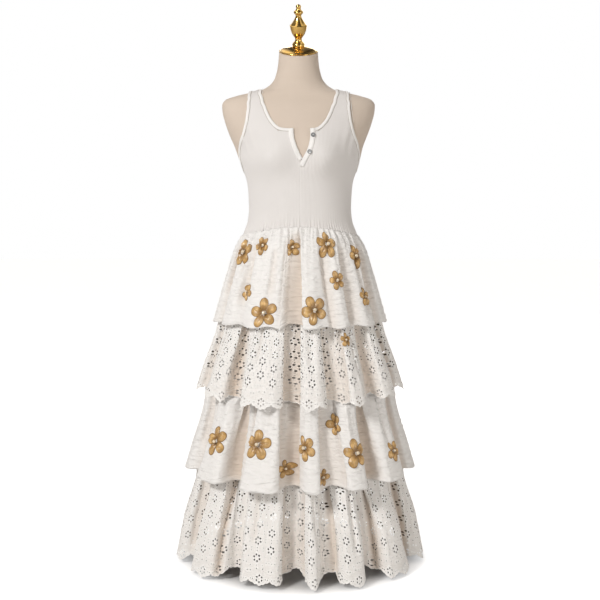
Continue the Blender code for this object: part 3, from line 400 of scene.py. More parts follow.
# %% The mesh helper
def make_piece(name, points, faces, material, flat=None, **masks):
    """A smooth mesh object from arrays, with the flat place and the masks of its points."""
    mesh = bpy.data.meshes.new(name)
    mesh.from_pydata(np.asarray(points).tolist(), [], faces if isinstance(faces, list) else faces.tolist())
    mesh.materials.append(material)
    if flat is not None:
        corners = np.empty(len(mesh.loops), int)
        mesh.loops.foreach_get("vertex_index", corners)
        layer = mesh.uv_layers.new(name="Cloth")
        layer.data.foreach_set("uv", np.asarray(flat)[corners].ravel())
    for mask, values in masks.items():
        mesh.attributes.new(mask, "FLOAT", "POINT").data.foreach_set("value", np.asarray(values, float))
    mesh.update()
    mesh.shade_smooth()
    piece = bpy.data.objects.new(name, mesh)
    bpy.context.scene.collection.objects.link(piece)
    return piece


def merge_points(piece, distance):
    """Joins points of a piece that lie on each other."""
    mesh = bmesh.new()
    mesh.from_mesh(piece.data)
    bmesh.ops.remove_doubles(mesh, verts=mesh.verts, dist=distance)
    mesh.to_mesh(piece.data)
    mesh.free()


def net_faces(rows, columns, closed=False):
    """Four-sided faces of a net of points, row after row; a closed net joins its last column to its first."""
    wide = columns if closed else columns - 1
    row, column = np.meshgrid(np.arange(rows - 1), np.arange(wide), indexing="ij")
    after = (column + 1) % columns
    return np.stack([row * columns + column, row * columns + after,
                     (row + 1) * columns + after, (row + 1) * columns + column], -1).reshape(-1, 4)


def run_along(points):
    """How far along a line each of its points is."""
    return np.concatenate([[0.0], np.cumsum(np.linalg.norm(np.diff(points, axis=0), axis=1))])


def cubic(values, slope, place, width, t):
    """A cubic between two knots, from their values and slopes; t runs from 0 to 1 between them."""
    return (values[place] * (1 + 2 * t) * (1 - t) ** 2 + values[place + 1] * t * t * (3 - 2 * t)
            + slope[place] * width * t * (1 - t) ** 2 - slope[place + 1] * width * t * t * (1 - t))


def through_points(knots, values, at):
    """A smooth curve through points, read at new places: a cubic whose slopes follow its neighbours."""
    knots, values, at = np.asarray(knots, float), np.asarray(values, float), np.asarray(at, float)
    step = np.diff(knots)
    way = np.diff(values, axis=0) / step.reshape(-1, *[1] * (values.ndim - 1))
    slope = np.empty_like(values)
    slope[0], slope[-1] = way[0], way[-1]
    before = step[:-1].reshape(-1, *[1] * (values.ndim - 1))
    after = step[1:].reshape(before.shape)
    slope[1:-1] = (way[:-1] * after + way[1:] * before) / (before + after)
    place = np.clip(np.searchsorted(knots, at, side="right") - 1, 0, len(step) - 1)
    width = step[place].reshape(-1, *[1] * (values.ndim - 1))
    t = ((at - knots[place]) / step[place]).reshape(width.shape)
    return cubic(values, slope, place, width, t)


print("mesh helper ready")

# %% [markdown]
# ## The dress form
# The form is a padded torso on a general women's figure. Its surface is one function of the angle round the
# body and the height, read from a short table of slices on curves that never overshoot. The same function
# later carries the knit bodice and the bindings, so they can't drift away from it.

# %% The body's slices
Slice = namedtuple("Slice", "z middle half_width front back power")
BODY = [Slice(*row) for row in (
    (0.700, 0.000, 0.1380, 0.086, 0.100, 2.2), (0.708, 0.000, 0.1560, 0.101, 0.119, 2.2),
    (0.770, 0.000, 0.1690, 0.108, 0.132, 2.2), (0.830, 0.000, 0.1620, 0.106, 0.124, 2.2),
    (0.880, 0.000, 0.1490, 0.103, 0.106, 2.2), (0.918, 0.000, 0.1365, 0.100, 0.094, 2.2),
    (0.950, 0.000, 0.1336, 0.099, 0.089, 2.2), (0.985, 0.000, 0.1348, 0.100, 0.088, 2.2),
    (1.015, 0.000, 0.1375, 0.103, 0.091, 2.2), (1.046, 0.000, 0.1465, 0.108, 0.096, 2.2),
    (1.078, -0.001, 0.1605, 0.112, 0.101, 2.1), (1.110, -0.003, 0.1700, 0.113, 0.105, 2.0),
    (1.142, -0.004, 0.1830, 0.108, 0.106, 2.0), (1.173, -0.004, 0.1940, 0.098, 0.103, 2.0),
    (1.204, -0.004, 0.2018, 0.083, 0.093, 2.0), (1.222, -0.004, 0.2030, 0.073, 0.083, 2.0),
    (1.236, -0.004, 0.1940, 0.064, 0.074, 2.0), (1.2466, -0.004, 0.1640, 0.059, 0.069, 2.0),
    (1.2545, -0.004, 0.1300, 0.057, 0.066, 2.0), (1.2623, -0.004, 0.0968, 0.056, 0.063, 2.0),
    (1.278, -0.004, 0.0729, 0.053, 0.058, 2.0), (1.294, -0.004, 0.0622, 0.051, 0.055, 2.0),
    (1.328, -0.004, 0.0542, 0.050, 0.052, 2.0), (1.362, -0.004, 0.0512, 0.050, 0.050, 2.0),
)]
TILT_START_Z = 1.270
NECK_TILT = math.radians(19)
BUST_OUT, BUST_X, BUST_Z, BUST_WIDE, BUST_HIGH = 0.0225, 0.072, 1.088, 0.046, 0.040


# %% The body's surface
def read_table(rows, column, heights):
    """Reads a column of a table at many heights, on a curve that never overshoots its rows."""
    knots = np.array([row.z for row in rows])
    values = np.array([getattr(row, column) for row in rows])
    heights = np.clip(heights, knots[0], knots[-1])
    way = np.diff(values) / np.diff(knots)
    slope = np.concatenate([way[:1], np.zeros(len(way) - 1), way[-1:]])
    same = way[:-1] * way[1:] > 0
    slope[1:-1][same] = 2 * way[:-1][same] * way[1:][same] / (way[:-1][same] + way[1:][same])
    place = np.clip(np.searchsorted(knots, heights, side="right") - 1, 0, len(way) - 1)
    width = knots[place + 1] - knots[place]
    t = (heights - knots[place]) / width
    return cubic(values, slope, place, width, t)


def body_point(angle, z):
    """Points of the body's surface, for arrays of angles and heights."""
    angle, z = np.broadcast_arrays(np.asarray(angle, float), np.asarray(z, float))
    power = 2.0 / read_table(BODY, "power", z)
    across, ahead = np.sin(angle), np.cos(angle)
    x = read_table(BODY, "half_width", z) * np.sign(across) * np.abs(across) ** power
    depth = np.where(ahead > 0, read_table(BODY, "front", z), read_table(BODY, "back", z))
    y = -depth * np.sign(ahead) * np.abs(ahead) ** power
    mound = ((np.abs(x) - BUST_X) / BUST_WIDE) ** 2 + ((z - BUST_Z) / BUST_HIGH) ** 2
    y = y - BUST_OUT * np.exp(-mound) * np.maximum(ahead, 0.0)
    lean = np.clip((z - TILT_START_Z) / (BODY[-1].z - TILT_START_Z), 0.0, 1.0)
    return np.stack([x + read_table(BODY, "middle", z), y, z + y * lean * math.tan(NECK_TILT)], -1)


def unit(vectors):
    return vectors / np.maximum(np.linalg.norm(vectors, axis=-1, keepdims=True), 1e-12)


def body_slopes(angle, z, step=0.0006):
    """How the surface point moves with the angle, and with the height."""
    by_angle = (body_point(angle + step, z) - body_point(angle - step, z)) / (2 * step)
    by_height = (body_point(angle, z + step) - body_point(angle, z - step)) / (2 * step)
    return by_angle, by_height


def body_normal(angle, z):
    """The way straight out of the body's surface."""
    return unit(np.cross(*body_slopes(angle, z)))


def on_body(angle, z, out):
    """Points at a distance out from the body's surface."""
    return body_point(angle, z) + body_normal(angle, z) * np.asarray(out)[..., None]


def angle_at(x, z, behind=False):
    """The angle of the body point at a distance x from its middle line."""
    share = np.clip(np.abs(x) / read_table(BODY, "half_width", z), 0.0, 1.0)
    angle = np.arcsin(share ** (read_table(BODY, "power", z) / 2.0))
    return np.copysign(np.where(behind, math.pi - angle, angle), x)


print("waist half width:", round(float(body_point(math.pi / 2, 0.95)[0]), 4))

# %% [markdown]
# A net with even steps in height would be coarse on the shoulders, where the surface lies nearly flat. The
# heights are picked so that the steps are even along the side of the body instead.

# %% The padded torso
FORM_STATIONS = 112
FORM_STEP = 0.0055
FORM_INSET = 0.0002
MEAN_RADIUS = 0.13

heights = np.linspace(BODY[0].z, BODY[-1].z, 4000)
side_line = body_point(math.pi / 2, heights)
along = run_along(side_line)
level_count = int(along[-1] / FORM_STEP)
levels = np.interp(np.linspace(0.0, along[-1], level_count), along, heights)[::-1]
stations = np.arange(FORM_STATIONS) * 2 * math.pi / FORM_STATIONS
station_net, level_net = np.meshgrid(stations, levels)
skin = on_body(station_net, level_net, np.full(station_net.shape, -FORM_INSET)).reshape(-1, 3)
faces = net_faces(level_count, FORM_STATIONS, closed=True)[:, ::-1].tolist()
top, bottom = len(skin), len(skin) + 1
skin = np.vstack([skin, skin[:FORM_STATIONS].mean(0), skin[-FORM_STATIONS:].mean(0)])
last = (level_count - 1) * FORM_STATIONS
for k in range(FORM_STATIONS):
    after = (k + 1) % FORM_STATIONS
    faces.append((k, after, top))
    faces.append((last + after, last + k, bottom))
flat = np.stack([skin[:, 0], skin[:, 2]], -1)
flat[:-2, 0] = station_net.ravel() * MEAN_RADIUS
torso = make_piece("torso", skin, faces, LINEN, flat)
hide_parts("form_torso")
print("torso faces:", len(torso.data.polygons))

# %% [markdown]
# ## Turned pieces
# The neck cap, the finial and the stand are turned: one profile goes round an axis. A few rings give the
# profile, a smooth curve runs through them, and a ring is left sharp where the metal has an edge.


# %% A turned piece
SHARP_METAL, SHARP_BUTTON = math.radians(38), math.radians(45)


def turned(name, rings, place, material, stations=64, step=0.0009, edges=()):
    """Turns a profile of (height, radius) rings round a place's Z axis. edges are rings with a corner."""
    rings = np.asarray(rings, float)
    corners = sorted({0, len(rings) - 1, *edges})
    profile = []
    for start, end in zip(corners, corners[1:]):
        part = rings[start:end + 1]
        run = run_along(part)
        count = max(2, int(run[-1] / step) + 1)
        line = through_points(run, part, np.linspace(0.0, run[-1], count)) if len(part) > 2 else part
        profile.extend(line.tolist() if not profile else line.tolist()[1:])
    profile = np.asarray(profile)
    turns = np.arange(stations) * 2 * math.pi / stations
    points = np.stack([np.outer(profile[:, 1], np.sin(turns)), -np.outer(profile[:, 1], np.cos(turns)),
                       np.repeat(profile[:, :1], stations, 1)], -1).reshape(-1, 3)
    faces = net_faces(len(profile), stations, closed=True).tolist()
    low, high = len(points), len(points) + 1
    points = np.vstack([points, [0.0, 0.0, profile[0, 0]], [0.0, 0.0, profile[-1, 0]]])
    top_row = (len(profile) - 1) * stations
    for k in range(stations):
        after = (k + 1) % stations
        faces.append((after, k, low))
        faces.append((top_row + k, top_row + after, high))
    points = points @ np.array(place.to_3x3()).T + np.array(place.translation)
    piece = make_piece(name, points, faces, material, np.stack([points[:, 0], points[:, 2]], -1))
    piece.data.set_sharp_from_angle(angle=SHARP_METAL)
    return piece


# %% Neck cap, finial and stand
CAP_RINGS = [
    (0.0000, 0.0490), (0.0002, 0.0503), (0.0014, 0.0512), (0.0027, 0.0508), (0.0034, 0.0494),
    (0.0036, 0.0470), (0.0062, 0.0430), (0.0094, 0.0345), (0.0114, 0.0260), (0.0125, 0.0200),
    (0.0130, 0.0172),
]
FINIAL_RINGS = [
    (0.0000, 0.0158), (0.0030, 0.0165), (0.0070, 0.0163), (0.0092, 0.0150), (0.0120, 0.0126),
    (0.0150, 0.0098), (0.0185, 0.0090), (0.0225, 0.0095), (0.0262, 0.0118), (0.0300, 0.0146),
    (0.0350, 0.0176), (0.0430, 0.0206), (0.0505, 0.0222), (0.0556, 0.0230), (0.0566, 0.0213),
    (0.0620, 0.0170), (0.0667, 0.0139), (0.0718, 0.0108), (0.0769, 0.0084), (0.0802, 0.0076),
    (0.0832, 0.0084), (0.0865, 0.0116), (0.0900, 0.0126), (0.0922, 0.0116), (0.0950, 0.0080),
    (0.0975, 0.0062), (0.1005, 0.0064), (0.1040, 0.0069), (0.1075, 0.0055), (0.1100, 0.0010),
]
SEAM_GAP = 0.0003
cap_place = (Matrix.Translation((BODY[-1].middle, 0.0, BODY[-1].z)) @ Matrix.Rotation(NECK_TILT, 4, "X")
             @ Matrix.Translation((0.0, 0.0, 2 * SEAM_GAP)))
cap = turned("cap", CAP_RINGS, cap_place, GOLD, stations=96, edges=(5,))
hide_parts("neck_cap")
finial_place = cap_place @ Matrix.Translation((0.0, 0.0, CAP_RINGS[-1][0] + SEAM_GAP))
finial = turned("turned_finial", FINIAL_RINGS, finial_place, GOLD, edges=(3, 13, 14, 23))
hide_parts("finial")

FOOT_RADIUS, FOOT_HEIGHT, POLE_RADIUS = 0.112, 0.016, 0.0125
foot = turned("round_base", [(0.0, FOOT_RADIUS - 0.001), (0.001, FOOT_RADIUS), (0.006, FOOT_RADIUS),
                             (0.0085, FOOT_RADIUS - 0.002), (0.011, FOOT_RADIUS - 0.007), (0.0135, 0.060),
                             (FOOT_HEIGHT, 0.030)],
              Matrix.Identity(4), STEEL, stations=96, step=0.004, edges=(1, 2))
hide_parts("stand_base")
pole = turned("pole", [(FOOT_HEIGHT + SEAM_GAP, POLE_RADIUS), (BODY[0].z - SEAM_GAP, POLE_RADIUS)],
              Matrix.Identity(4), STEEL, stations=40)
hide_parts("stand_pole")
print("turned pieces:", [round(p.dimensions.z, 4) for p in (cap, finial, foot, pole)])

# %% [markdown]
# ## Edges of the bodice
# The neck, the armholes and the slit are curves on the body. Each is a short list of places with a smooth
# curve through them, measured along the cloth. A curve can be moved into the cloth by a distance, which
# gives the inner edge of a binding and its row of stitches.

# %% Neck, armhole and slit tables
Strap = namedtuple("Strap", "neck_x neck_z arm_x arm_z")
FRONT_STRAP = [Strap(*row) for row in (
    (0.0660, 1.176, 0.1395, 1.168), (0.0790, 1.199, 0.1355, 1.195), (0.0885, 1.222, 0.1340, 1.220),
    (0.0940, 1.243, 0.1325, 1.238), (0.0965, 1.2550, 0.1315, 1.2490), (0.0973, 1.2603, 0.1311, 1.2531),
)]
BACK_STRAP = [Strap(*row) for row in (
    (0.0720, 1.209, 0.1345, 1.207), (0.0900, 1.234, 0.1332, 1.231), (0.0955, 1.2520, 0.1319, 1.2465),
    (0.0970, 1.2595, 0.1312, 1.2525),
)]
FRONT_ARMHOLE = [(0.1540, 1.070), (0.1575, 1.093), (0.1545, 1.118), (0.1455, 1.145)]
BACK_ARMHOLE = [(0.1545, 1.071), (0.1560, 1.095), (0.1500, 1.124), (0.1410, 1.155), (0.1375, 1.185)]
ARMHOLE_LOW_Z = 1.052
NECK_FRONT_Z, NECK_BACK_Z, NECK_CORNER_X = 1.157, 1.193, 0.049
SHOULDER_NECK_X, SHOULDER_ARM_X = 0.0975, 0.1310
SHOULDER_OVER_Z, SIDE_ARM_X = 1.28, 0.153
Slit = namedtuple("Slit", "z left right")
SLIT = [Slit(*row) for row in ((1.083, 0.0065, 0.0125), (1.107, -0.0045, 0.0240), (1.132, -0.0115, 0.0300),
                               (1.157, -0.0130, 0.0300))]
SEAM_FRONT_Z, SEAM_SIDE_Z = 0.905, 0.879


# %% The edges as smooth curves
def shoulder_z(x):
    """The height of the shoulder's ridge at a distance x from the middle."""
    heights = np.linspace(1.225, 1.325, 2000)
    widths = read_table(BODY, "half_width", heights)
    return float(np.interp(-x, -widths, heights))


def neck_half(side):
    """The neck edge of one half, from the slit up over the shoulder to the middle of the back."""
    slit = SLIT[-1].right if side > 0 else SLIT[-1].left
    turn = side * NECK_CORNER_X
    spots = [(slit, NECK_FRONT_Z, False), ((slit + turn) / 2, NECK_FRONT_Z, False),
             (turn, NECK_FRONT_Z + 0.003, False)]
    spots += [(side * row.neck_x, row.neck_z, False) for row in FRONT_STRAP]
    border = [(float(angle_at(x, z, behind)), z) for x, z, behind in spots]
    border.append((side * math.pi / 2, shoulder_z(SHOULDER_NECK_X)))
    spots = [(side * row.neck_x, row.neck_z, True) for row in reversed(BACK_STRAP)]
    spots += [(turn, NECK_BACK_Z + 0.003, True), (turn / 2, NECK_BACK_Z, True)]
    border += [(float(angle_at(x, z, behind)), z) for x, z, behind in spots]
    border.append((side * math.pi, NECK_BACK_Z))
    return border


def armhole(side):
    """One armhole's edge: from the side seam up the front, over the shoulder, down the back."""
    border = [(side * math.pi / 2, ARMHOLE_LOW_Z)]
    spots = [(x, z, False) for x, z in FRONT_ARMHOLE]
    spots += [(row.arm_x, row.arm_z, False) for row in FRONT_STRAP]
    border += [(float(angle_at(side * x, z, behind)), z) for x, z, behind in spots]
    border.append((side * math.pi / 2, shoulder_z(SHOULDER_ARM_X)))
    spots = [(row.arm_x, row.arm_z, True) for row in reversed(BACK_STRAP)]
    spots += [(x, z, True) for x, z in reversed(BACK_ARMHOLE)]
    border += [(float(angle_at(side * x, z, behind)), z) for x, z, behind in spots]
    return border


def smooth_path(border, step, closed=False):
    """Places along an edge at even steps of cloth, on a smooth curve through the given ones."""
    border = np.asarray(border, float)
    if closed:
        border = np.vstack([border[-3:], border, border[:4]])
    knots = body_point(border[:, 0], border[:, 1])
    run = run_along(knots)
    start, end = (run[3], run[-4]) if closed else (run[0], run[-1])
    fine = np.linspace(start, end, 2000)
    curve = through_points(run, border, fine)
    length = run_along(body_point(curve[:, 0], curve[:, 1]))
    count = max(4, round(length[-1] / step))
    at = np.linspace(0.0, length[-1], count, endpoint=not closed)
    return np.stack([np.interp(at, length, curve[:, k]) for k in (0, 1)], -1)


def moved_in(path, distance, closed=False, steps=4):
    """Moves a path over the body, square to itself, by a distance measured on the cloth."""
    path = path.copy()
    for _ in range(steps):
        points = body_point(path[:, 0], path[:, 1])
        if closed:
            tangent = np.roll(points, -1, 0) - np.roll(points, 1, 0)
        else:
            tangent = np.gradient(points, axis=0)
        by_angle, by_height = body_slopes(path[:, 0], path[:, 1])
        normal = unit(np.cross(by_angle, by_height))
        shift = unit(np.cross(normal, tangent)) * distance / steps
        aa, ah = (by_angle * by_angle).sum(-1), (by_angle * by_height).sum(-1)
        hh = (by_height * by_height).sum(-1)
        sa, sh = (shift * by_angle).sum(-1), (shift * by_height).sum(-1)
        area = aa * hh - ah * ah
        path[:, 0] += (sa * hh - sh * ah) / area
        path[:, 1] += (sh * aa - sa * ah) / area
    return path


EDGE_STEP = 0.004
right_neck, left_neck = neck_half(1), neck_half(-1)
neck_line = right_neck + [(angle + 2 * math.pi, z) for angle, z in left_neck[-2::-1]]
NECK = smooth_path(neck_line, EDGE_STEP)
ARMHOLES = {side: smooth_path(armhole(side), EDGE_STEP, closed=True) for side in (-1, 1)}
print("edge points:", len(NECK), [len(line) for line in ARMHOLES.values()])

# %% [markdown]
# ## Rib knit
# A rib is a column of stitches that stands forward. The bodice has about 280 of them, so the net has four
# columns a rib, and the middle two stand out. Up to the armholes the ribs run straight up the body; above
# them they stay in upright planes, over the shoulder and down the back, as they do in a cut panel. Faces
# nearer than the binding's edge are left out, and the binding covers the cut.

# %% Where the knit's net lies
RIBS = 280
COLUMNS_A_RIB = 4
RIB_RISE = 0.00045
KNIT_OUT = 0.0025
KNIT_STEP = 0.0075
SPLIT_Z = 1.060
SPREAD = 0.06
SPREAD_HIGH = 0.03
UNDER_BINDING = 0.0028
KNIT_BELOW_SEAM = 0.004
KNIT_GIRTH = 0.80
KNIT_MERGE = 0.00004
HIGH_ROWS = 46

columns = RIBS * COLUMNS_A_RIB
start_angles = (np.arange(columns) + 0.5) * 2 * math.pi / columns
start_angles = np.where(start_angles > math.pi, start_angles - 2 * math.pi, start_angles)
behind = np.abs(start_angles) > math.pi / 2
split_x = body_point(start_angles, SPLIT_Z)[:, 0]
ridge = np.array([shoulder_z(abs(x) * (1 + SPREAD)) for x in split_x])


def seam_z(angle, front_z, side_z):
    """A level that is lower or higher at the sides than at the front and back."""
    return front_z + (side_z - front_z) * np.sin(angle) ** 2


low_rows = int((SPLIT_Z - SEAM_FRONT_Z) / KNIT_STEP)
net_angle, net_z = [], []
for k in range(low_rows):
    share = k / low_rows
    low = seam_z(start_angles, SEAM_FRONT_Z, SEAM_SIDE_Z) - KNIT_BELOW_SEAM
    net_angle.append(start_angles)
    net_z.append(low + (SPLIT_Z - low) * share)
for k in range(HIGH_ROWS + 1):
    share = math.sin(k / HIGH_ROWS * math.pi / 2) ** 0.82
    z = SPLIT_Z + (ridge - SPLIT_Z) * share
    wider = 1 + SPREAD * np.clip((z - SPLIT_Z) / SPREAD_HIGH, 0.0, 1.0)
    net_angle.append(angle_at(split_x * wider, z, behind))
    net_z.append(z)
net_angle, net_z = np.array(net_angle), np.array(net_z)
print("knit net:", net_angle.shape)

# %% [markdown]
# The seam that joins bodice and skirt pulls small puckers into the last stretch of knit, and the cloth that
# lies between bust and armhole has a few slack folds. Both are pushed along the normal, and fade out.


# %% Uneven waves, and the knit mesh
def uneven_waves(position, length, wave, seed, terms=7):
    """Waves along a closed length that differ in height and width, about -1 to 1."""
    numbers = np.random.default_rng(seed)
    total = np.zeros(np.shape(position))
    for _ in range(terms):
        cycles = max(1, round(length / wave * numbers.uniform(0.6, 1.5)))
        phase, size = numbers.uniform(0.0, 2 * math.pi), numbers.uniform(0.6, 1.0)
        total = total + size * np.cos(2 * math.pi * cycles * position / length + phase)
    return total / (0.9 * math.sqrt(terms))


PUCKER_RISE, PUCKER_HIGH, PUCKER_WAVE = 0.0011, 0.014, 0.060
SLACK_ANGLE, SLACK_WIDE, SLACK_Z, SLACK_HIGH, SLACK_RISE, SLACK_WAVES = 0.86, 0.22, 1.135, 0.040, 0.0010, 34.0
rib_profile = np.array([0.0, 1.0, 1.0, 0.0])[np.arange(columns) % COLUMNS_A_RIB]
waist_low = seam_z(net_angle, SEAM_FRONT_Z, SEAM_SIDE_Z)
pucker = uneven_waves(net_angle, 2 * math.pi, PUCKER_WAVE, seed=3)
pucker = pucker * np.exp(-(net_z - waist_low) / PUCKER_HIGH)
slack = np.exp(-((np.abs(net_angle) - SLACK_ANGLE) / SLACK_WIDE) ** 2 - ((net_z - SLACK_Z) / SLACK_HIGH) ** 2)
slack = slack * SLACK_RISE * np.cos(np.abs(net_angle) * SLACK_WAVES) * ~behind
knit_points = on_body(net_angle, net_z, KNIT_OUT + RIB_RISE * rib_profile + PUCKER_RISE * pucker + slack)


BATCH = 4000


def distance_to(points, line):
    """How far each point is from the nearest of a line's points, worked out a batch at a time."""
    nearest = np.empty(len(points))
    for start in range(0, len(points), BATCH):
        part = points[start:start + BATCH]
        nearest[start:start + BATCH] = np.linalg.norm(part[:, None] - line[None], axis=-1).min(1)
    return nearest


def fine_line(path, closed=False):
    """An edge on the knit's level, with a point every millimetre."""
    spots = on_body(path[:, 0], path[:, 1], np.full(len(path), KNIT_OUT))
    if closed:
        spots = np.vstack([spots, spots[:1]])
    run = run_along(spots)
    return np.stack([np.interp(np.arange(0.0, run[-1], 0.001), run, spots[:, k]) for k in range(3)], -1)


x_net = body_point(net_angle, net_z)[..., 0]
behind_net = np.broadcast_to(behind, x_net.shape)
front_neck = [(0.0, NECK_FRONT_Z), (0.03, NECK_FRONT_Z + 0.0002), (NECK_CORNER_X, NECK_FRONT_Z + 0.003)]
front_neck += [(row.neck_x, row.neck_z) for row in FRONT_STRAP] + [(SHOULDER_NECK_X, SHOULDER_OVER_Z)]
back_neck = [(0.0, NECK_BACK_Z), (NECK_CORNER_X, NECK_BACK_Z + 0.003)]
back_neck += [(row.neck_x, row.neck_z) for row in BACK_STRAP] + [(SHOULDER_NECK_X, SHOULDER_OVER_Z)]
front_arm = [(SIDE_ARM_X, ARMHOLE_LOW_Z)] + FRONT_ARMHOLE + [(row.arm_x, row.arm_z) for row in FRONT_STRAP]
back_arm = [(SIDE_ARM_X, ARMHOLE_LOW_Z)] + BACK_ARMHOLE + [(row.arm_x, row.arm_z) for row in BACK_STRAP]


def edge_x(table, z, below):
    """The edge's distance from the middle at a height, from (x, z) pairs."""
    xs, zs = np.array([spot[0] for spot in table]), np.array([spot[1] for spot in table])
    return np.where(z < zs[0], below, np.interp(z, zs, xs))


neck_x = np.where(behind_net, edge_x(back_neck, net_z, -1.0), edge_x(front_neck, net_z, -1.0))
arm_x = np.where(behind_net, edge_x(back_arm, net_z, 1.0), edge_x(front_arm, net_z, 1.0))
kept = (np.abs(x_net) > neck_x) & (np.abs(x_net) < arm_x)
high = (net_z > ARMHOLE_LOW_Z - 0.02).ravel()
near = np.full(high.shape, 1.0)
all_points = knit_points.reshape(-1, 3)
edge_lines = np.vstack([fine_line(NECK)] + [fine_line(line, True) for line in ARMHOLES.values()])
near[high] = distance_to(all_points[high], edge_lines)
kept &= near.reshape(kept.shape) > UNDER_BINDING
slit_left = edge_x([(row.left, row.z) for row in SLIT], net_z, 1.0) - UNDER_BINDING
slit_right = edge_x([(row.right, row.z) for row in SLIT], net_z, -1.0) + UNDER_BINDING
kept &= behind_net | (net_z > NECK_FRONT_Z + 0.02) | (x_net < slit_left) | (x_net > slit_right)

faces = net_faces(*net_angle.shape, closed=True)
faces = faces[kept.ravel()[faces].all(1)]
across = np.cumsum(np.full(columns, KNIT_GIRTH / columns))
flat = np.stack([np.broadcast_to(across, net_z.shape), net_z], -1).reshape(-1, 2)
used = np.unique(faces)
number = np.full(len(all_points), -1)
number[used] = np.arange(len(used))
knit = make_piece("rib_knit_bodice", all_points[used], number[faces], KNIT, flat[used])
merge_points(knit, KNIT_MERGE)
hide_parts("bodice_front", "bodice_back")
print("knit faces:", len(knit.data.polygons))

# %% [markdown]
# ## Bindings and plackets
# A binding is a folded strip that clasps the cut edge. It is a band with a rounded section, carried along the
# edge: each point of the section has a distance into the cloth and a height over the body.

# %% A band along an edge
Section = namedtuple("Section", "inward height")
BINDING_SECTION = [Section(*row) for row in (
    (0.0004, 0.0012), (-0.0002, 0.0022), (0.0004, 0.0033), (0.0020, 0.0040), (0.0042, 0.0042),
    (0.0064, 0.0040), (0.0078, 0.0035), (0.0082, 0.0028), (0.0078, 0.0016),
)]


def band(name, path, side, section, closed, material):
    """A closed band: a section of (inward, height) spots carried along a path on the body."""
    rows = []
    for spot in section:
        line = moved_in(path, side * spot.inward, closed) if spot.inward else path
        rows.append(on_body(line[:, 0], line[:, 1], np.full(len(line), spot.height)))
    points = np.array(rows)
    run = run_along(points[0])
    girth = np.cumsum([0.0] + [math.dist(a, b) for a, b in zip(section, section[1:])])
    flat = np.stack(np.meshgrid(run, girth), -1).reshape(-1, 2)
    count, wide = len(section), len(path)
    faces = net_faces(count, wide, closed).tolist()
    for k in range(wide if closed else wide - 1):
        after = (k + 1) % wide
        faces.append(((count - 1) * wide + k, (count - 1) * wide + after, after, k))
    if not closed:
        faces.append([row * wide for row in range(count)])
        faces.append([row * wide + wide - 1 for row in range(count)][::-1])
    piece = make_piece(name, points.reshape(-1, 3), faces, material, flat)
    mesh = bmesh.new()
    mesh.from_mesh(piece.data)
    bmesh.ops.recalc_face_normals(mesh, faces=mesh.faces)
    mesh.to_mesh(piece.data)
    mesh.free()
    return piece


# %% Neck and armhole bindings
neck_band = band("neck_band", NECK, -1, BINDING_SECTION, False, BINDING)
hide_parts("neck_binding")
arm_bands = {}
for side, word in ((-1, "left"), (1, "right")):
    arm_bands[side] = band(f"armhole_band_{word}", ARMHOLES[side], side, BINDING_SECTION, True, BINDING)
    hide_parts(f"armhole_binding_{word}")
print("bands:", [len(piece.data.polygons) for piece in (neck_band, *arm_bands.values())])

# %% [markdown]
# The plackets are two wider bands beside the slit. The right one runs on below the slit's point as a short
# tail, stitched flat on the left one.

# %% Plackets
PLACKET_SECTION = [Section(*row) for row in (
    (0.0002, 0.0012), (-0.0003, 0.0030), (0.0005, 0.0044), (0.0025, 0.0051), (0.0062, 0.0053),
    (0.0100, 0.0051), (0.0120, 0.0043), (0.0125, 0.0034), (0.0120, 0.0024),
)]
PLACKET_TOP_Z = NECK_FRONT_Z - 0.0005
right_edge = [(-0.0010, 1.0620), (0.0030, 1.0720), (0.0098, 1.0830), (0.0235, 1.1070), (0.0298, 1.1320),
              (0.0300, PLACKET_TOP_Z)]
left_edge = [(0.0085, 1.0800), (-0.0040, 1.1070), (-0.0113, 1.1320), (-0.0130, PLACKET_TOP_Z)]
placket_pieces = {}
placket_paths = {}
for word, edge, side in (("right", right_edge, -1), ("left", left_edge, 1)):
    border = [(float(angle_at(x, z)), z) for x, z in edge]
    placket_paths[word] = smooth_path(border, 0.0025)
    placket_pieces[word] = band(f"placket_band_{word}", placket_paths[word], side, PLACKET_SECTION, False,
                                BINDING)
    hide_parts(f"placket_{word}")
print("plackets:", [len(path) for path in placket_paths.values()])

# %% [markdown]
# ## Flat meshes with holes
# Buttons and eyelet cloth share one tool: an outline, the holes in it and some spots between become a flat
# net of triangles, with each hole's edge kept. A constrained triangulation does this in one call.


# %% The flat net
def circle(x, y, radius, count, turn=0.0):
    angles = turn + np.arange(count) * 2 * math.pi / count
    return np.stack([x + radius * np.cos(angles), y + radius * np.sin(angles)], -1)


def inside(points, outline):
    """Which flat points lie inside a closed outline."""
    x, y = points[:, 0, None], points[:, 1, None]
    ax, ay = outline[:, 0], outline[:, 1]
    bx, by = np.roll(ax, -1), np.roll(ay, -1)
    spans = (ay > y) != (by > y)
    height = np.where(by == ay, 1.0, by - ay)
    return ((x < ax + (bx - ax) * (y - ay) / height) & spans).sum(1) % 2 == 1


def flat_net(outline, holes, spots):
    """Points and triangles of a flat sheet with holes. The outline's and the holes' points come first."""
    loops = [outline, *holes]
    points = np.vstack([*loops, spots]) if len(spots) else np.vstack(loops)
    edges, start = [], 0
    for loop in loops:
        edges += [(start + k, start + (k + 1) % len(loop)) for k in range(len(loop))]
        start += len(loop)
    verts, _, faces, _, _, _ = delaunay_2d_cdt([Vector(p) for p in points.tolist()], edges, [], 0, 1e-7)
    verts = np.array([tuple(v) for v in verts])
    faces = np.array([face for face in faces if len(face) == 3])
    centres = verts[faces].mean(1)
    keep = inside(centres, outline)
    for hole in holes:
        keep &= ~inside(centres, hole)
    faces = faces[keep]
    a, b, c = (verts[faces[:, k]] for k in range(3))
    turned_over = np.cross(b - a, c - a) < 0
    faces[turned_over] = faces[turned_over][:, ::-1]
    return verts, faces


